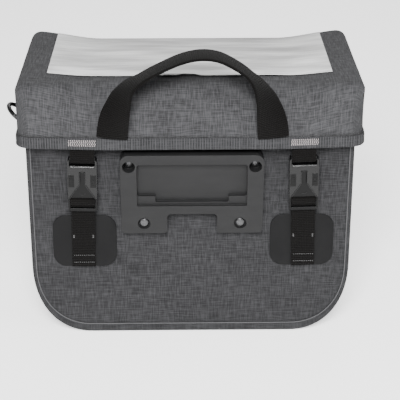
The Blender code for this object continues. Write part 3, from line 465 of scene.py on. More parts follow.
class Nodes:
    """A material's node tree, with short ways to add to it."""

    def __init__(self, name):
        self.made = bpy.data.materials.new(name)
        self.made.use_nodes = True
        self.tree = self.made.node_tree
        self.shader = self.tree.nodes["Principled BSDF"]

    def feed(self, socket, value):
        """Links a socket or sets its value."""
        if isinstance(value, bpy.types.NodeSocket):
            self.tree.links.new(value, socket)
        elif socket.type == "RGBA" and len(value) == 3:
            socket.default_value = (*value, 1.0)
        else:
            socket.default_value = value

    def add(self, kind, inputs=(), **settings):
        """A node with its settings and its inputs, given by name or index."""
        node = self.tree.nodes.new("ShaderNode" + kind)
        for key, value in settings.items():
            setattr(node, key, value)
        for key, value in dict(inputs).items():
            self.feed(node.inputs[key], value)
        return node

    def coords(self, scale, uv=True):
        """The cut's coordinates, or the object's, times a scale for each axis."""
        if uv:
            source = self.add("UVMap", uv_map="cut").outputs["UV"]
        else:
            source = self.add("TexCoord").outputs["Object"]
        return self.add("Mapping", {"Vector": source, "Scale": scale}).outputs["Vector"]

    def noise(self, scale, detail=2.0, uv=True):
        """Noise whose scale is given in waves a metre for each axis."""
        node = self.add("TexNoise", {"Vector": self.coords(scale, uv), "Scale": 1.0,
                                     "Detail": detail})
        return node.outputs["Fac"]

    def bands(self, period, direction, distortion=0.0):
        """Sine bands over the cut, with a period in metres."""
        node = self.add("TexWave", {"Vector": self.coords((1, 1, 1)),
                                    "Scale": WAVE_SCALE / period,
                                    "Distortion": distortion, "Detail": 1.0},
                        bands_direction=direction)
        return node.outputs["Fac"]

    def math(self, operation, a, b=0.0):
        """One sum."""
        return self.add("Math", {0: a, 1: b}, operation=operation).outputs[0]

    def spread(self, value, low, high, to_low=0.0, to_high=1.0):
        """Maps a value from one span to another, clamped."""
        node = self.add("MapRange", {"Value": value, "From Min": low, "From Max": high,
                                     "To Min": to_low, "To Max": to_high})
        return node.outputs["Result"]

    def mix(self, share, a, b):
        """A mix of two colours."""
        return self.add("Mix", {0: share, 6: a, 7: b}, data_type="RGBA").outputs[2]

    def bump(self, height, distance, strength=1.0, normal=None):
        """A normal bent by a height."""
        node = self.add("Bump", {"Height": height, "Distance": distance,
                                 "Strength": strength})
        if normal is not None:
            self.feed(node.inputs["Normal"], normal)
        return node.outputs["Normal"]

    def set(self, **inputs):
        """Sets the Principled shader's inputs."""
        for key, value in inputs.items():
            self.feed(self.shader.inputs[key.replace("_", " ")], value)
        return self.made


def shade(colour, factor):
    """A colour made lighter or darker."""
    return tuple(min(channel * factor, 1.0) for channel in colour)


def cloth_material(name, colour, ribs=False):
    """Heathered woven polyester: long pale and dark threads in a fine weave."""
    n = Nodes(name)
    weft = n.noise((75, 950, 1), 3.0)
    warp = n.noise((950, 90, 1), 3.0)
    grain = n.noise((1400, 1400, 1), 2.0)
    cloud = n.noise((22, 22, 1), 2.0)
    threads = n.math("ADD", n.spread(weft, 0.36, 0.66), n.spread(warp, 0.40, 0.68))
    mottled = n.math("ADD", n.math("MULTIPLY", threads, 0.40),
                     n.math("MULTIPLY", grain, 0.25))
    mottled = n.math("ADD", mottled, n.spread(cloud, 0.3, 0.7, -0.06, 0.06))
    base = n.mix(n.spread(mottled, 0.15, 0.90), shade(colour, 0.55), shade(colour, 1.62))
    weave = n.math("MULTIPLY", n.bands(0.0009, "X"), n.bands(0.0009, "Y"))
    height = n.math("ADD", weave, n.math("MULTIPLY", threads, 0.6))
    if ribs:
        rib = n.math("MULTIPLY", n.bands(0.0021, "X", 0.6), n.noise((520, 40, 1), 1.0))
        # Painted highlight: the ribs' tops are coloured up to 1.9 times lighter.
        base = n.mix(n.spread(rib, 0.18, 0.52), base, shade(colour, 1.9))
        height = n.math("ADD", height, rib)
    return n.set(Base_Color=base, Roughness=n.spread(grain, 0.3, 0.7, 0.86, 0.97),
                 Specular_IOR_Level=0.06, Sheen_Weight=0.02, Sheen_Roughness=0.6,
                 Normal=n.bump(height, 0.00016))


def webbing_material(colour):
    """Ribbed webbing, with ribs across its length and fine lines along it."""
    found = bpy.data.materials.get("webbing_ribs")
    if found:
        return found
    n = Nodes("webbing_ribs")
    rows = n.bands(0.0016, "Y", 0.4)
    lines = n.bands(0.0014, "X")
    height = n.math("ADD", rows, n.math("MULTIPLY", lines, 0.7))
    fuzz = n.noise((1500, 1500, 1), 2.0)
    # Painted highlight: the raised ribs are coloured lighter; the fuzz adds random tone.
    rib_highlight_and_fuzz = n.math("ADD", n.math("MULTIPLY", height, 0.35), n.math("MULTIPLY", fuzz, 0.5))
    base = n.mix(n.spread(rib_highlight_and_fuzz, 0.2, 0.8), shade(colour, 0.55), shade(colour, 1.9))
    return n.set(Base_Color=base, Roughness=0.80, Specular_IOR_Level=0.05,
                 Sheen_Weight=0.02, Sheen_Roughness=0.5,
                 Normal=n.bump(height, 0.00028))


def film_material(colour):
    """Clear soft film over the lid: hazy, glossy, with long shallow waves; its light grey is
    partly its own milk-white haze and partly painted reflection.
    """
    n = Nodes("soft_film")
    waves = n.noise((9, 55, 1), 2.0)
    lines = n.bands(0.006, "Y", 3.0)
    # Painted reflection: long streaks of lighter and darker grey stand for the film's uneven
    # reflection, over its own haze.
    haze_and_reflection = n.noise((14, 60, 1), 3.0)
    base = n.mix(n.spread(haze_and_reflection, 0.35, 0.68), shade(colour, 0.72), shade(colour, 1.18))
    height = n.math("ADD", waves, n.math("MULTIPLY", lines, 0.04))
    return n.set(Base_Color=base, Roughness=0.2, IOR=1.45, Alpha=0.9,
                 Specular_IOR_Level=0.6, Coat_Weight=0.5, Coat_Roughness=0.12,
                 Normal=n.bump(height, 0.0012, 0.5))


def patch_material(colour):
    """Smooth coated sheet with soft creases, with painted shade: darker in their hollows, lighter
    on their ridges.
    """
    n = Nodes("coated_patch")
    creases = n.noise((60, 1, 38), 2.0, uv=False)
    fine = n.noise((1600, 1600, 1600), 2.0, uv=False)
    # Painted shade: the same creases that bend the normal make the colour darker in hollows and
    # lighter on ridges.
    base = n.mix(n.spread(creases, 0.3, 0.7), shade(colour, 0.85), shade(colour, 1.2))
    bent = n.bump(creases, 0.0012, 0.6)
    return n.set(Base_Color=base, Roughness=n.spread(fine, 0.3, 0.7, 0.50, 0.62),
                 Specular_IOR_Level=0.12, Normal=n.bump(fine, 0.00005, 1.0, bent))


def plastic_material(name, colour, roughness, grain, edge, shine=0.16):
    """Moulded plastic with a fine grain, softened edges and faint scuffs."""
    n = Nodes(name)
    fine = n.noise((grain, grain, grain), 3.0, uv=False)
    scuff = n.noise((55, 55, 180), 4.0, uv=False)
    rounded = n.add("Bevel", {"Radius": edge}, samples=6).outputs["Normal"]
    base = n.mix(n.spread(scuff, 0.42, 0.75), shade(colour, 0.93), shade(colour, 1.14))
    rough = n.math("ADD", n.spread(fine, 0.3, 0.7, roughness - 0.05, roughness + 0.05),
                   n.spread(scuff, 0.5, 0.8, 0.0, 0.06))
    return n.set(Base_Color=base, Roughness=rough, Specular_IOR_Level=shine,
                 Normal=n.bump(fine, 0.00006, 1.0, rounded))


def thread_material(name, colour):
    """Twisted sewing thread."""
    n = Nodes(name)
    twist = n.noise((2200, 2200, 2200), 2.0, uv=False)
    base = n.mix(n.spread(twist, 0.3, 0.7), shade(colour, 0.7), shade(colour, 1.25))
    return n.set(Base_Color=base, Roughness=0.7, Normal=n.bump(twist, 0.0001))


def steel_material():
    """Black-oxide steel."""
    n = Nodes("oxide_steel")
    fine = n.noise((900, 900, 900), 3.0, uv=False)
    base = n.mix(n.spread(fine, 0.3, 0.7), (0.05, 0.05, 0.052), (0.10, 0.10, 0.102))
    return n.set(Base_Color=base, Metallic=0.9,
                 Roughness=n.spread(fine, 0.3, 0.7, 0.32, 0.45))


def dress(node, material):
    """Gives a CAD node that stays its better material."""
    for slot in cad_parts[node].material_slots:
        slot.material = material


# Shapes shared with the CAD source

def lid_top_height(x, y):
    """Outside of the lid's top, with its fall to the front and its sag."""
    along = (y - REAR) / (FRONT - REAR)
    sag = blend(SAG_REAR, SAG_FRONT, min(max(along, 0.0), 1.0))
    slack = smoothstep((1 - abs(x) / LID_HALF) / SAG_EDGE)
    return LID_HEIGHT + LID_FALL * (0.5 - along) - sag * slack


def lid_inset(x, y):
    """How far in from the outside of the lid's skirt a point lies, front half."""
    over_x = abs(x) - (LID_HALF - PLAN_RADIUS)
    over_y = y - (LID_FRONT - PLAN_RADIUS)
    outside = math.hypot(max(over_x, 0.0), max(over_y, 0.0))
    return PLAN_RADIUS - outside - min(max(over_x, over_y), 0.0)


def rim_height(x, y):
    """Top of the body's rim, just under the lid and clear of its shoulder."""
    inner = SHOULDER - WALL
    off_centre = min(max(SHOULDER + FIT - lid_inset(x, y), 0.0), inner)
    tuck = inner - math.sqrt(inner * inner - off_centre * off_centre)
    under = lid_top_height(x, y) - WALL - RIM_FIT - tuck
    return blend(REAR_RIM_HEIGHT, under, smoothstep((y - REAR) / RIM_RUN))


def slackness(x):
    """0 where the rear skirt is firm, 1 where it slumps."""
    return smoothstep((LID_HALF - abs(x)) / SLACK_RUN)


def rear_hem(x):
    """Outside of the rear hem."""
    return REAR - LID_REAR_GAP - HEM_BULGE * slackness(x)


def skirt_row(row, slack, height):
    """One row of the skirt, as how far in from the hem and down from the top."""
    angle, straight, slack_in, slack_down = row
    angle = math.radians(angle)
    firm_in = SHOULDER * (1 - math.sin(angle))
    firm_down = SHOULDER * (1 - math.cos(angle)) + (height - SHOULDER) * straight
    return (blend(firm_in, SLACK_SHOULDER * slack_in, slack),
            blend(firm_down, height * slack_down, slack))


def rear_skirt(x, z):
    """Y of the outside of the rear skirt at a height."""
    slack = slackness(x)
    top = lid_top_height(x, rear_hem(x) + blend(SHOULDER, SLACK_SHOULDER, slack))
    profile = [skirt_row(row, slack, top - HEM_HEIGHT) for row in SKIRT_ROWS]
    for (in_a, down_a), (in_b, down_b) in zip(profile, profile[1:]):
        if top - down_b <= z:
            share = (top - down_a - z) / (down_b - down_a)
            return rear_hem(x) + blend(in_a, in_b, min(max(share, 0.0), 1.0))
    return rear_hem(x)


def lid_plan(s, t):
    """A point of the lid's top, inside the shoulder, and the way out of it."""
    radius = PLAN_RADIUS - SHOULDER
    half_x = LID_HALF - SHOULDER
    middle = (LID_FRONT + REAR - LID_REAR_GAP) / 2
    half_y = LID_FRONT - SHOULDER - middle
    x = s * half_x
    y = t * half_y
    over_x = (abs(x) - half_x + radius) / radius
    over_y = (abs(y) - half_y + radius) / radius
    if over_x > 0 and over_y > 0:
        disc_x = over_x * math.sqrt(1 - over_y * over_y / 2)
        disc_y = over_y * math.sqrt(1 - over_x * over_x / 2)
        x = math.copysign(half_x - radius + disc_x * radius, x)
        y = math.copysign(half_y - radius + disc_y * radius, y)
    nearness = (1 - y / half_y) / 2
    slump = (SLACK_SHOULDER - SHOULDER - HEM_BULGE) * slackness(x) * nearness
    out = Vector((max(abs(x) - half_x + radius, 0.0), max(abs(y) - half_y + radius, 0.0)))
    if out.length < TINY:
        out = Vector((0.0, 1.0)) if abs(t) > abs(s) else Vector((1.0, 0.0))
    out = Vector((math.copysign(out.x, x), math.copysign(out.y, y))).normalized()
    return Vector((x, middle + y + slump)), out


def axis_lines(half, radius, plain):
    """Grid lines from -1 to 1, with extra ones in the rounded corners."""
    corner = radius / half
    inner = [(1 - corner) * (2 * step / plain - 1) for step in range(plain + 1)]
    edge = [-1.0, -1.0 + corner * 0.35, -1.0 + corner * 0.7]
    return edge + inner + [-value for value in reversed(edge)]


def lid_lines():
    """Grid lines of the lid's top, across and deep."""
    half_y = (LID_FRONT - REAR + LID_REAR_GAP) / 2
    radius = PLAN_RADIUS - SHOULDER
    return (axis_lines(LID_HALF - SHOULDER, radius, LID_LINES[0]),
            axis_lines(half_y - SHOULDER, radius, LID_LINES[1]))


def lid_start(s, t):
    """Top of the skirt at a place of the lid's edge, its way out and its slack."""
    plan, out = lid_plan(s, t)
    top = Vector((plan.x, plan.y, lid_top_height(plan.x, plan.y)))
    way = Vector((out.x, out.y, 0.0))
    slack = slackness(top.x) if way.y < TINY - 1 else 0.0
    return top, way, slack


def skirt_point(start, row):
    """A point of the skirt at one row."""
    top, way, slack = start
    inwards, down = skirt_row(row, slack, top.z - HEM_HEIGHT)
    reach = blend(SHOULDER, SLACK_SHOULDER, slack) - inwards
    return top + way * reach - Vector((0, 0, down))


def skirt_at(start, height, proud):
    """A point of the skirt at a height above the hem, stood off it by proud."""
    top, way, slack = start
    whole = top.z - HEM_HEIGHT
    down = whole - height
    profile = [skirt_row(row, slack, whole) for row in SKIRT_ROWS]
    inwards = profile[-1][0]
    for (in_a, down_a), (in_b, down_b) in zip(profile, profile[1:]):
        if down_a <= down <= down_b:
            inwards = blend(in_a, in_b, (down - down_a) / max(down_b - down_a, TINY))
            break
    reach = blend(SHOULDER, SLACK_SHOULDER, slack) - inwards + proud
    return Vector((top.x + way.x * reach, top.y + way.y * reach, HEM_HEIGHT + height))


def lid_edge():
    """The skirt's starts all round the lid, from the rear left corner to the right."""
    lines_x, lines_y = lid_lines()
    around = [(s, -1.0) for s in lines_x[:-1]] + [(1.0, t) for t in lines_y[:-1]]
    around += [(-s, 1.0) for s in lines_x[:-1]] + [(-1.0, -t) for t in lines_y[:-1]]
    return [lid_start(s, t) for s, t in around]


def side_outline(inset, rim):
    """The body's U from its left rim round the base to its right rim, as (x, z)."""
    half = BODY_HALF - SEAM_SIDE * inset
    base = SEAM_BASE * inset
    run = CORNER_RUN - SEAM_SIDE * inset
    rise = CORNER_RISE - base
    straight = [(-half, blend(rim, base + rise, step / 20)) for step in range(20)]
    corner = []
    for step in range(21):
        angle = math.pi / 2 * step / 20
        corner.append((-half + run * (1 - math.cos(angle) ** (2 / CORNER_POWER)),
                       base + rise * (1 - math.sin(angle) ** (2 / CORNER_POWER))))
    flat = [(blend(-half + run, 0.0, step / 10), base) for step in range(1, 10)]
    left = straight + corner + flat
    return left + [(0.0, base)] + [(-x, z) for x, z in reversed(left)]


def body_foot(x):
    """Height of the panels' lower edge."""
    half = BODY_HALF - SEAM_SIDE
    run = CORNER_RUN - SEAM_SIDE
    rise = CORNER_RISE - SEAM_BASE
    share = min(max((abs(x) - half + run) / run, 0.0), 1.0)
    return SEAM_BASE + rise * (1 - (1 - share ** CORNER_POWER) ** (1 / CORNER_POWER))


def strap_x(side):
    """Middle of a strap at the hem."""
    return STRAP_SHIFT + side * STRAP_SPACING / 2


def strap_anchor(side):
    """Where a strap leaves the hem."""
    x = strap_x(side)
    return Vector((x, rear_hem(x) + WALL / 2, HEM_HEIGHT))


def strap_frame(side, tilt=BUCKLE_TILT):
    """Matrix of a buckle's frame: origin at the hem, -Z down the strap."""
    splay = Matrix.Rotation(math.radians(STRAP_SPLAY * -side), 4, "Y")
    lean = Matrix.Rotation(math.radians(tilt), 4, "X")
    return Matrix.Translation(strap_anchor(side)) @ splay @ lean


# Body

def make_panel(name, side, bulge, rim, cloth, wave):
    """A panel of the body, with soft dents that go inwards only."""
    half = BODY_HALF - SEAM_SIDE - FIT

    def place(s, t):
        x = half * math.sin(math.pi / 2 * (2 * s - 1))
        low = body_foot(x * (half + FIT) / half) + FIT
        z = blend(low, rim(x), t)
        across = (1 - (x / half) ** 4) ** 2
        share = (z - low) / (HEM_HEIGHT - low)
        upright = (1 - (2 * min(share, 1.0) - 1) ** 4) ** 2
        calm = across * min(upright * 2, 1.0)
        dent = wave * calm * (ripple(x, z, 0.045, 3.0 + side) * 0.8
                              + ripple(x, z * 1.7, 0.018, 9.0) * 0.35)
        y = side * (FRONT + bulge * across * upright - dent)
        return Vector((x, y, z)), (x, z)

    panel = grid_sheet(name, *PANEL_GRID, place, (0, side, 0), [cloth])
    wall(panel, WALL)
    return settle(panel)


def make_gusset(cloth, trim, wave):
    """The band round the sides and the base."""
    arc = [math.pi / 2 * step / 8 for step in range(9)]
    rear = [(1.0, REAR - SEAM_PROUD), (0.88, REAR - SEAM_PROUD)]
    rear += [(0.75 * (1 - math.sin(a)), REAR + EDGE_RADIUS * (1 - math.cos(a))) for a in arc]
    middle = [(0.0, blend(REAR + EDGE_RADIUS, FRONT - EDGE_RADIUS, step / 24))
              for step in range(1, 24)]
    front = [(inset, -y) for inset, y in reversed(rear)]
    table = rear + middle + front
    outlines = [side_outline(inset, rim_height(-BODY_HALF + SEAM_SIDE * inset, y))
                for inset, y in table]
    across = [0.0]
    for (inset_a, y_a), (inset_b, y_b) in zip(table, table[1:]):
        across.append(across[-1] + math.hypot(SEAM_SIDE * (inset_b - inset_a), y_b - y_a))
    along = [0.0]
    for a, b in zip(outlines[len(rear)], outlines[len(rear)][1:]):
        along.append(along[-1] + math.dist(a, b))
    columns = len(outlines[0]) - 1

    def place(s, t):
        column = round(s * columns)
        row = round(t * (len(table) - 1))
        inset, y = table[row]
        x, z = outlines[row][column]
        if inset == 0.0:
            calm = smoothstep((FRONT - abs(y) - EDGE_RADIUS) / 0.02)
            calm *= smoothstep((z - 0.02) / 0.05)
            dent = 1.6 * wave * calm * ripple(y, z, 0.04, 20.0 + math.copysign(1, x))
            x -= math.copysign(dent, x)
        return Vector((x, y, z)), (along[column], across[row])

    gusset = grid_sheet("gusset_cloth", columns, len(table) - 1, place, (-1, -1, 0),
                        [cloth, trim])
    wall(gusset, WALL, rim=1)
    return settle(gusset)


def make_cord(name, points, radius, material):
    """A thin round edging through points."""
    curve = bpy.data.curves.new(name, "CURVE")
    curve.dimensions = "3D"
    curve.bevel_depth = radius
    curve.bevel_resolution = 2
    line = curve.splines.new("POLY")
    line.points.add(len(points) - 1)
    for point, place in zip(line.points, points):
        point.co = (*place, 1.0)
    curve.use_fill_caps = True
    source = bpy.data.objects.new(name + "_line", curve)
    collection().objects.link(source)
    bpy.context.view_layer.update()
    graph = bpy.context.evaluated_depsgraph_get()
    mesh = bpy.data.meshes.new_from_object(source.evaluated_get(graph))
    bpy.data.objects.remove(source, do_unlink=True)
    mesh.materials.clear()
    mesh.materials.append(material)
    mesh.shade_smooth()
    piece = bpy.data.objects.new(name, mesh)
    collection().objects.link(piece)
    return piece


def sew(name, marks, material, width=0.0006):
    """Stitches at marks of (place, direction, length)."""
    bm = bmesh.new()
    for place, direction, length in marks:
        turn = direction.to_track_quat("X", "Z").to_matrix().to_4x4()
        size = Matrix.Diagonal((length / 2, width / 2, width / 2, 1.0))
        bmesh.ops.create_uvsphere(bm, u_segments=6, v_segments=4, radius=1.0,
                                  matrix=Matrix.Translation(place) @ turn @ size)
    piece = piece_from(name, bm, [material])
    piece.data.shade_smooth()
    return piece


def dashes(points, pitch, length):
    """Marks for a row of stitches along points."""
    marks = []
    due = pitch / 2
    for a, b in zip(points, points[1:]):
        step = (b - a).length
        while due < step:
            marks.append((a.lerp(b, due / step), (b - a).normalized(), length))
            due += pitch
        due -= step
    return marks


class BAG_OT_body(bpy.types.Operator):
    """Makes the rear panel, the front panel and the gusset with its seam line"""

    bl_idname = "bag.make_body"
    bl_label = "Make body"

    def execute(self, context):
        look = context.scene.bag_cloth
        cloth = cloth_material("body_heather", look.body)
        # A pale edging, 1.9 times the body's colour, for the seam cords and the gusset's rim
        # faces.
        trim = thread_material("pale_edging", shade(look.body, 1.9))
        rear = make_panel("rear_panel_cloth", -1, 0.0, lambda x: REAR_RIM_HEIGHT, cloth,
                          look.wave)
        front = make_panel("front_panel_cloth", 1, FRONT_BULGE,
                           lambda x: rim_height(x, FRONT), cloth, look.wave)
        gusset = make_gusset(cloth, trim, look.wave)
        seat(rear, "fabric", "rear_panel")
        seat(front, "fabric", "front_panel")
        seat(gusset, "fabric", "gusset")
        for name, side in (("seam_rear", -1), ("seam_front", 1)):
            points = [Vector((x, side * (FRONT + SEAM_PROUD), z))
                      for x, z in side_outline(1.0, REAR_RIM_HEIGHT - WALL)]
            seat(make_cord(name, points, SEAM_CORD, trim), "fabric")
        return {"FINISHED"}


# Lid

def make_lid_cloth(cloth, wave):
    """The lid's top as a grid, with its skirt extruded down from the grid's edge."""
    lines_x, lines_y = lid_lines()
    bm = bmesh.new()
    bmesh.ops.create_grid(
        bm, x_segments=len(lines_x) - 1, y_segments=len(lines_y) - 1, size=1.0)
    bm.verts.ensure_lookup_table()
    flat = {}
    starts = {}
    for index, vert in enumerate(bm.verts):
        s = lines_x[index % len(lines_x)]
        t = lines_y[index // len(lines_x)]
        start = lid_start(s, t)
        starts[vert] = start
        calm = (1 - s ** 6) * (1 - t ** 6)
        x, y, z = start[0]
        vert.co = (x, y, z - wave * calm * ripple(x, y, 0.05, 40.0))
        flat[vert] = (x, y)
    edge = [item for item in bm.edges if item.is_boundary]
    run = {vert: 0.0 for vert in bm.verts}
    for row in smooth_rows(SKIRT_ROWS, SKIRT_STEPS)[1:]:
        edge, sources = extrude(bm, edge)
        for vert, above in sources.items():
            start = starts[above]
            point = skirt_point(start, row)
            along = point.x - point.y
            share = (start[0].z - point.z) / (start[0].z - HEM_HEIGHT)
            calm = math.sin(math.pi * min(share, 1.0)) ** 0.7 if share < 1 else 0.0
            dent = wave * calm * (ripple(along, point.z * 0.5, 0.022, 51.0)
                                  + 0.6 * ripple(along, point.z, 0.05, 57.0))
            length = run[above] + (point - above.co).length
            vert.co = point - start[1] * dent
            starts[vert] = start
            run[vert] = length
            flat[vert] = (start[0].x + start[1].x * length, start[0].y + start[1].y * length)
    turn_to(bm, (0, 0, 1))
    lid = piece_from("lid_cloth", bm, [cloth], flat)
    wall(lid, WALL)
    return settle(lid, SOFT_ANGLE)


def make_hem(cloth):
    """The binding folded over the lid's lower edge."""
    starts = lid_edge()
    lengths = [0.0]
    for start, after in zip(starts, starts[1:]):
        lengths.append(lengths[-1] + (skirt_at(after, 0, 0) - skirt_at(start, 0, 0)).length)
    bm = bmesh.new()
    bmesh.ops.create_circle(bm, segments=len(starts), radius=1.0)
    bm.verts.ensure_lookup_table()
    ring = sorted(bm.verts, key=lambda vert: vert.index)
    column = {vert: index for index, vert in enumerate(ring)}
    flat = {}
    for vert, index in column.items():
        vert.co = skirt_at(starts[index], *HEM_ROWS[0])
        flat[vert] = (lengths[index], 0.0)
    edge = bm.edges[:]
    depth = 0.0
    for before, row in zip(HEM_ROWS, HEM_ROWS[1:]):
        depth += math.dist(before, row)
        edge, sources = extrude(bm, edge)
        for vert, source in sources.items():
            index = column[source]
            column[vert] = index
            vert.co = skirt_at(starts[index], *row)
            flat[vert] = (lengths[index], depth)
    # extruded faces come in no fixed order, so one beside the first start is named
    turn_to(bm, starts[0][1], ring[0].link_faces[0])
    hem = piece_from("lid_hem", bm, [cloth], flat)
    wall(hem, HEM_WALL)
    return settle(hem, SOFT_ANGLE)


class BAG_OT_lid(bpy.types.Operator):
    """Makes the lid with its skirt and the binding of its hem"""

    bl_idname = "bag.make_lid"
    bl_label = "Make lid"

    def execute(self, context):
        look = context.scene.bag_cloth
        lid = make_lid_cloth(cloth_material("lid_heather", look.lid), look.wave)
        hem = make_hem(cloth_material("hem_ribs", shade(look.lid, 0.62), ribs=True))
        seat(lid, "lid_fabric", "lid")
        seat(hem, "lid_fabric")
        return {"FINISHED"}


class BAG_OT_map_window(bpy.types.Operator):
    """Makes the clear film that lies on the lid"""

    bl_idname = "bag.make_map_window"
    bl_label = "Make map window"

    def execute(self, context):
        low, high = FILM_BOX

        def place(s, t):
            x = blend(low.x, high.x, s)
            thumb = smoothstep(1.6 - abs(x - NOTCH_X) / NOTCH_HALF) * max(0.0, 1 - 6 * t)
            y = blend(low.y, high.y, t) + NOTCH_DEPTH * thumb
            edge = (1 - (2 * s - 1) ** 8) * (1 - (2 * t - 1) ** 8)
            rise = FILM_RISE * edge * (0.4 + ripple(x * 0.3, y, 0.024, 70.0))
            curl = FILM_CURL * math.exp(-t * 22) * (1 - (2 * s - 1) ** 6)
            curl *= ripple(x, 0, 0.04, 75.0)
            z = lid_top_height(x, y) + FIT + rise + curl
            return Vector((x, y, z)), (x, y)

        film = grid_sheet("map_window_film", *FILM_GRID, place, (0, 0, 1),
                          [film_material(context.scene.bag_cloth.film)])
        wall(film, FILM_SHEET, offset=1.0)
        settle(film)
        seat(film, "film", "map_window")
        return {"FINISHED"}


class BAG_OT_handle(bpy.types.Operator):
    """Makes the webbing handle, whose legs twist a quarter turn"""

    bl_idname = "bag.make_handle"
    bl_label = "Make handle"

    def execute(self, context):
        path = []
        for span, rise, lean, turn in smooth_rows(HANDLE_ROWS, HANDLE_STEPS):
            x = HANDLE_SHIFT + HANDLE_SPAN * span
            foot = rear_skirt(x, HANDLE_BASE_HEIGHT) - HANDLE_FIT - HANDLE_WEB / 2
            path.append((Vector((x, foot + HANDLE_LEAN * lean,
                                 HANDLE_BASE_HEIGHT + HANDLE_RISE * rise)),
                         min(max(turn, 0.0), 1.0)))
        route = []
        for index, (point, turn) in enumerate(path):
            after = path[min(index + 1, len(path) - 1)][0]
            before = path[max(index - 1, 0)][0]
            along = (after - before).normalized()
            flat = along.cross(Vector((0, 1, 0))).normalized()
            depth = flat.cross(along).normalized()
            angle = math.pi / 2 * turn
            across = flat * math.cos(angle) + depth * math.sin(angle)
            route.append((point, across, along.cross(across).normalized()))
        material = webbing_material(context.scene.bag_cloth.webbing)
        handle = strip("handle_web", route, HANDLE_WIDTH, HANDLE_WEB, [material],
                       HANDLE_COLUMNS, HANDLE_CROWN)
        seat(handle, "webbing", "handle")
        return {"FINISHED"}


class BAG_OT_mouldings(bpy.types.Operator):
    """Gives the plate, the buckles and the rings their plastic, and the screws their steel"""

    bl_idname = "bag.dress_mouldings"
    bl_label = "Dress mouldings"

    def execute(self, context):
        look = context.scene.bag_plastic
        plate = plastic_material("plate_plastic", look.plate, 0.52, 2600, look.edge)
        gloss = plastic_material("buckle_plastic", look.gloss, 0.26, 1800, look.edge * 0.7, 0.30)
        # Painted shade: a darker copy of the buckle plastic for the male half and the arms in the
        # buckles' sides, which sit recessed in the female half.
        deep = plastic_material("head_plastic_shaded", shade(look.gloss, 0.4), 0.34, 1800, look.edge)
        steel = steel_material()
        dress("adapter_plate", plate)
        for side_name, _ in SIDES:
            dress("buckle_female_" + side_name, gloss)
            dress("buckle_male_" + side_name, deep)
            dress("d_ring_" + side_name, gloss)
            for kind in ("screw_top_", "screw_foot_"):
                dress(kind + side_name, steel)
        for side_name, side in SIDES:
            for name, points, radius in buckle_lines():
                placed = [strap_frame(side) @ Vector(point) for point in points]
                seat(make_cord(f"buckle_{name}_{side_name}", placed, radius, gloss),
                     "gloss_plastic")
            for hand, way in SIDES:
                seat(make_side_window(f"buckle_window_{hand}_{side_name}", side, way, deep),
                     "gloss_plastic")
        return {"FINISHED"}


def buckle_lines():
    """Raised lines of a buckle, in its own frame: name, points, radius."""
    face = -BUCKLE_DEPTH / 2
    foot = -BUCKLE_DROP - FEMALE_LENGTH
    apex = foot + MOUTH_RISE
    key = KEY_WIDTH / 2
    rim = 0.0003
    key_top = apex + KEYWAY_LENGTH - key
    keyhole = [(-key, face, apex), (-key, face, key_top)]
    keyhole += arc_points(0.0, key_top, key, 180, 0, face)[1:-1]
    keyhole += [(key, face, key_top), (key, face, apex)]
    lip = BUCKLE_WIDTH / 2 - BUCKLE_SHELL
    left = [(-key, face, apex), (-lip, face, foot + rim)]
    right = [(key, face, apex), (lip, face, foot + rim)]
    bridge = -BUCKLE_DROP - FEMALE_BAR - FEMALE_SLOT - BRIDGE_RADIUS
    reach = STRAP_WIDTH / 2
    head = -(BUCKLE_DEPTH / 2 - BUCKLE_SHELL - FIT)
    dimple = arc_points(0.0, foot + 0.0050, 0.0024, 200, 340, head)
    return (("keyhole", keyhole, 0.00042), ("mouth_left", left, 0.00045),
            ("mouth_right", right, 0.00045),
            ("bridge", [(-reach, face + rim, bridge), (reach, face + rim, bridge)],
             BRIDGE_RADIUS),
            ("dimple", dimple, 0.00030))


def make_side_window(name, side, way, material):
    """The sprung arm that shows in a buckle's side, with its grip ridges."""
    face = -BUCKLE_DEPTH / 2 - SKIN
    inner, outer = (BUCKLE_WIDTH / 2 - gap for gap in WINDOW_SIDES)
    bottom, top = (-BUCKLE_DROP - drop for drop in WINDOW_DROPS)

    def place(s, t):
        x = way * blend(inner, outer, s)
        z = blend(bottom, top, t)
        swell = math.sin(math.pi * s) * math.sin(math.pi * t)
        ridge = GRIP_HEIGHT * math.cos(2 * math.pi * GRIP_RIDGES * t)
        y = face - (WINDOW_CROWN + ridge) * swell
        return strap_frame(side) @ Vector((x, y, z)), (x, z)

    window = grid_sheet(name, *WINDOW_GRID, place, (0, -1, 0), [material])
    wall(window, WINDOW_CROWN)
    return settle(window)


# Straps

def wrapped(corners, reach, start):
    """Points of an arc round each of a bar's corners, a quarter turn each, as (y, z)."""
    points = []
    for index, (y, z) in enumerate(corners):
        first = start + 90 * index
        points += [(a, b) for a, _, b in arc_points(y, z, reach, first, first + 90, steps=6)]
    return points


def male_bar_drop():
    """Middle of the male half's strap bar, down from the hem."""
    return BUCKLE_DROP + FEMALE_LENGTH + 3 * FIT + STRAP_WEB + BUCKLE_BAR / 2


def upper_path():
    """The webbing from the hem, round the female half's bar and back."""
    half_y = BUCKLE_BAR_DEPTH / 2
    reach = FIT + STRAP_WEB / 2
    foot = -BUCKLE_DROP - FEMALE_BAR
    loop = wrapped([(-half_y, foot), (half_y, foot)], reach, 180)
    shoulder = (half_y + reach, -BUCKLE_DROP)
    top = (STRAP_WEB / 2 + FIT, -STRAP_TOP_GAP)
    route = [(-top[0], top[1]), (-shoulder[0], shoulder[1]), *loop, shoulder, top]
    return [Vector((0, y, z)) for y, z in route]


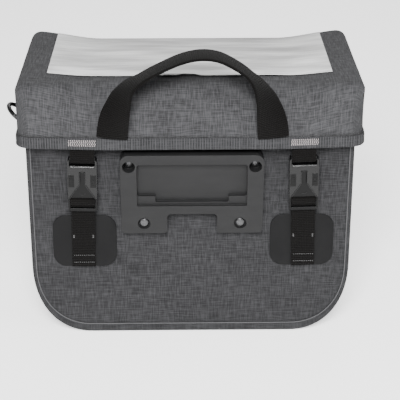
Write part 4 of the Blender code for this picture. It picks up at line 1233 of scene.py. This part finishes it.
def lower_path(side):
    """The webbing round the male half's bar, then down the rear panel in two layers."""
    bar = -male_bar_drop()
    half_y = BUCKLE_BAR_DEPTH / 2
    half_z = BUCKLE_BAR / 2
    reach = FIT + STRAP_WEB / 2
    lean = Matrix.Rotation(math.radians(BUCKLE_TILT), 4, "X")
    passing_y = LOWER_BAR_DEPTH - (BUCKLE_DEPTH / 2 - BUCKLE_SHELL - FIT) + reach
    foot = -BUCKLE_DROP - FEMALE_LENGTH - MALE_TAIL
    corners = [(half_y, bar + half_z), (-half_y, bar + half_z), (-half_y, bar - half_z)]
    loop = [(passing_y + STRAP_WEB + FIT, foot), *wrapped(corners, reach, 0),
            (passing_y, foot + LOWER_BAR), (passing_y, foot)]
    leaning = [lean @ Vector((0, y, z)) for y, z in loop]
    anchor = strap_anchor(side)
    inner = REAR - anchor.y - PATCH_SHEET - 2 * FIT - STRAP_WEB / 2
    outer = inner - STRAP_WEB - FIT
    landing = PATCH_TOP - anchor.z
    turn = STRAP_TURN_HEIGHT - anchor.z
    end = STRAP_END_HEIGHT - anchor.z
    return [Vector((0, inner, turn)), Vector((0, inner, landing)), *leaning,
            Vector((0, outer, landing)), Vector((0, outer, turn - FIT)),
            Vector((0, inner, turn - STRAP_STEP)), Vector((0, inner, end))]


def web_route(points, across, matrix=Matrix.Identity(4)):
    """The route of a web through points, in world space."""
    turned = (matrix.to_3x3() @ Vector(across)).normalized()
    placed = [matrix @ point for point in points]
    route = []
    for index, point in enumerate(placed):
        along = placed[min(index + 1, len(placed) - 1)] - placed[max(index - 1, 0)]
        route.append((point, turned, along.cross(turned).normalized()))
    return route


class BAG_OT_straps(bpy.types.Operator):
    """Makes the fastening straps and their patches"""

    bl_idname = "bag.make_straps"
    bl_label = "Make straps"

    def execute(self, context):
        look = context.scene.bag_cloth
        web = webbing_material(look.webbing)
        coated = patch_material(look.patch)
        for side_name, side in SIDES:
            route = web_route(upper_path(), (1, 0, 0), strap_frame(side))
            upper = strip("strap_upper_web_" + side_name, route, STRAP_WIDTH, STRAP_WEB, [web])
            seat(upper, "webbing", "strap_upper_" + side_name)
            route = web_route(lower_path(side), (1, 0, 0), strap_frame(side, tilt=0.0))
            lower = strip("strap_lower_web_" + side_name, route, STRAP_WIDTH, STRAP_WEB, [web])
            seat(lower, "webbing", "strap_lower_" + side_name)
            patch = make_patch("patch_sheet_" + side_name, side_name, coated)
            seat(patch, "patch", "patch_" + side_name)
        return {"FINISHED"}


def make_patch(name, side_name, material):
    """A coated sheet with round corners and a softly rounded edge."""
    low, high = PATCH_BOXES[side_name]
    right, left = high.x - PATCH_RADIUS, low.x + PATCH_RADIUS
    top, foot = high.z - PATCH_RADIUS, low.z + PATCH_RADIUS
    outline = []
    for x, z, start in ((right, top, 0), (left, top, 90), (left, foot, 180), (right, foot, 270)):
        outline += arc_points(x, z, PATCH_RADIUS, start, start + 90, high.y, steps=10)
    bm = bmesh.new()
    face = bm.faces.new([bm.verts.new(point) for point in outline])
    grown = bmesh.ops.extrude_face_region(bm, geom=[face])
    moved = [item for item in grown["geom"] if isinstance(item, bmesh.types.BMVert)]
    bmesh.ops.translate(bm, verts=moved, vec=(0, low.y - high.y, 0))
    bmesh.ops.recalc_face_normals(bm, faces=bm.faces)
    patch = piece_from(name, bm, [material])
    round_edges(patch, 0.0004)
    return settle(patch)


class BAG_OT_ring_tabs(bpy.types.Operator):
    """Makes the webbing tabs that hold the D-rings"""

    bl_idname = "bag.make_ring_tabs"
    bl_label = "Make ring tabs"

    def execute(self, context):
        web = webbing_material(context.scene.bag_cloth.webbing)
        inner = BODY_HALF + FIT + TAB_WEB / 2
        bar_x = inner + TAB_WEB / 2 + FIT + RING_WIRE / 2
        reach = RING_WIRE / 2 + FIT + TAB_WEB / 2
        outer = inner + TAB_WEB + FIT
        parting = RING_BAR_HEIGHT - TAB_PARTING
        for side_name, side in SIDES:
            path = [Vector((side * inner, 0, TAB_BASE_HEIGHT)),
                    Vector((side * inner, 0, parting))]
            arc = arc_points(bar_x, RING_BAR_HEIGHT, reach, 180, 180 * (1 - TAB_WRAP), steps=16)
            path += [Vector((side * x, y, z)) for x, y, z in arc]
            path += [Vector((side * outer, 0, parting)),
                     Vector((side * outer, 0, TAB_BASE_HEIGHT))]
            tab = strip("ring_tab_web_" + side_name, web_route(path, (0, 1, 0)),
                        TAB_WIDTH, TAB_WEB, [web])
            seat(tab, "webbing", "ring_tab_" + side_name)
        return {"FINISHED"}


class BAG_OT_stitching(bpy.types.Operator):
    """Sews the hem, the straps and the tabs"""

    bl_idname = "bag.make_stitching"
    bl_label = "Make stitching"

    def execute(self, context):
        look = context.scene.bag_cloth
        # The hem's row of stitches is coloured near-black, painted shade of the gaps at the top of
        # the binding's ribs.
        dark = thread_material("hem_thread_painted_shade", (0.012, 0.012, 0.012))
        pale = thread_material("pale_thread", (0.42, 0.38, 0.38))
        grey = thread_material("grey_thread", (0.09, 0.09, 0.09))
        starts = lid_edge()
        around = [skirt_at(start, HEM_STITCH_HEIGHT, SKIN) for start in starts + starts[:1]]
        seat(sew("stitches_hem", dashes(around, HEM_STITCH_PITCH, look.stitch), dark, 0.0009),
             "lid_fabric")
        down = Vector((0, 0, -1))
        columns, rows = STRAP_STITCH_GRID
        pitch_x, pitch_z = STRAP_STITCH_PITCH
        for side_name, side in SIDES:
            middle = strap_x(side)
            marks = []
            for row in range(rows):
                z = HEM_HEIGHT + STRAP_STITCH_BASE + row * pitch_z
                for step in range(columns):
                    x = middle + (step - columns // 2 + 0.25 * (row % 2)) * pitch_x
                    place = Vector((x, rear_hem(x) - STRAP_STITCH_STAND, z))
                    marks.append((place, down, look.stitch))
            seat(sew("stitches_strap_" + side_name, marks, pale, 0.0005), "lid_fabric")
            face = REAR - PATCH_SHEET - 2 * FIT - STRAP_WEB
            drift = math.tan(math.radians(STRAP_SPLAY)) * side
            tacks = []
            for z in TAIL_HEIGHTS:
                x = middle + drift * (HEM_HEIGHT - z)
                ends = [Vector((x + end, face - SKIN, z)) for end in (-ROW_HALF, ROW_HALF)]
                tacks += dashes(ends, 0.0016, 0.0011)
            for z in TACK_HEIGHTS:
                x = middle + drift * (HEM_HEIGHT - z)
                for edge in (-TACK_HALF, TACK_HALF):
                    place = Vector((x + edge, face - STRAP_WEB - FIT - SKIN, z))
                    tacks.append((place, Vector((1, 0, 0)), 0.0018))
            seat(sew("stitches_tail_" + side_name, tacks, grey, 0.0005), "webbing")
            tab = []
            x = side * (BODY_HALF + 2 * FIT + 2 * TAB_WEB + SKIN)
            for z in TAB_HEIGHTS:
                ends = [Vector((x, end, z)) for end in (-ROW_HALF, ROW_HALF)]
                tab += dashes(ends, 0.0020, 0.0015)
            seat(sew("stitches_tab_" + side_name, tab, grey, 0.0006), "webbing")
        return {"FINISHED"}


# Stage

def aimed(data, place, target):
    """A light or camera at a place, facing a target."""
    item = bpy.data.objects.new(data.name, data)
    item.location = place
    facing = Vector(target) - Vector(place)
    item.rotation_euler = facing.to_track_quat("-Z", "Y").to_euler()
    bpy.context.scene.collection.objects.link(item)
    return item


class BAG_OT_stage(bpy.types.Operator):
    """Makes the floor, the lights, the world and the camera"""

    bl_idname = "bag.make_stage"
    bl_label = "Make stage"

    def execute(self, context):
        look = context.scene.bag_stage
        bm = bmesh.new()
        bmesh.ops.create_grid(bm, x_segments=2, y_segments=2, size=look.floor / 2)
        n = Nodes("pale_floor")
        n.set(Base_Color=(0.93, 0.93, 0.93), Roughness=0.9, Specular_IOR_Level=0.1,
              Emission_Color=(1.0, 1.0, 1.0), Emission_Strength=look.glow)
        piece_from("floor", bm, [n.made])
        world = bpy.data.worlds.new("pale_world")
        world.use_nodes = True
        back = world.node_tree.nodes["Background"]
        back.inputs["Color"].default_value = (1.0, 1.0, 1.0, 1.0)
        back.inputs["Strength"].default_value = look.sky
        context.scene.world = world
        for name, place, size, share in LIGHTS:
            lamp = bpy.data.lights.new(name, "AREA")
            lamp.energy = look.key * share
            lamp.size = size
            aimed(lamp, place, LIGHT_TARGET)
        camera = bpy.data.cameras.new("camera")
        camera.lens = CAMERA_LENS
        camera.sensor_width = 36.0
        context.scene.camera = aimed(camera, CAMERA_PLACE, CAMERA_TARGET)
        return {"FINISHED"}


class BAG_PT_panel(bpy.types.Panel):
    """Sidebar panel of the bag"""

    bl_label = "Handlebar bag"
    bl_idname = "BAG_PT_panel"
    bl_space_type = "VIEW_3D"
    bl_region_type = "UI"
    bl_category = "Bag"

    def draw(self, context):
        for group in (context.scene.bag_cloth, context.scene.bag_plastic,
                      context.scene.bag_stage):
            for key in group.__annotations__:
                self.layout.prop(group, key)
        for operator in OPERATORS:
            self.layout.operator(operator.bl_idname)


GROUPS = (("bag_cloth", BagCloth), ("bag_plastic", BagPlastic), ("bag_stage", BagStage))
OPERATORS = (BAG_OT_body, BAG_OT_lid, BAG_OT_map_window, BAG_OT_handle, BAG_OT_mouldings,
             BAG_OT_straps, BAG_OT_ring_tabs, BAG_OT_stitching, BAG_OT_stage)


def register():
    """Registers the settings, the operators and the panel."""
    for name, group in GROUPS:
        bpy.utils.register_class(group)
        setattr(bpy.types.Scene, name, PointerProperty(type=group))
    for item in (*OPERATORS, BAG_PT_panel):
        bpy.utils.register_class(item)


def unregister():
    """Takes them away again."""
    for item in reversed((*OPERATORS, BAG_PT_panel)):
        bpy.utils.unregister_class(item)
    for name, group in reversed(GROUPS):
        delattr(bpy.types.Scene, name)
        bpy.utils.unregister_class(group)


def main():
    """Makes the whole bag."""
    register()
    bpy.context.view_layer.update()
    for operator in OPERATORS:
        family, call = operator.bl_idname.split(".")
        getattr(getattr(bpy.ops, family), call)()
    bpy.context.view_layer.update()


if __name__ == "__main__":
    main()
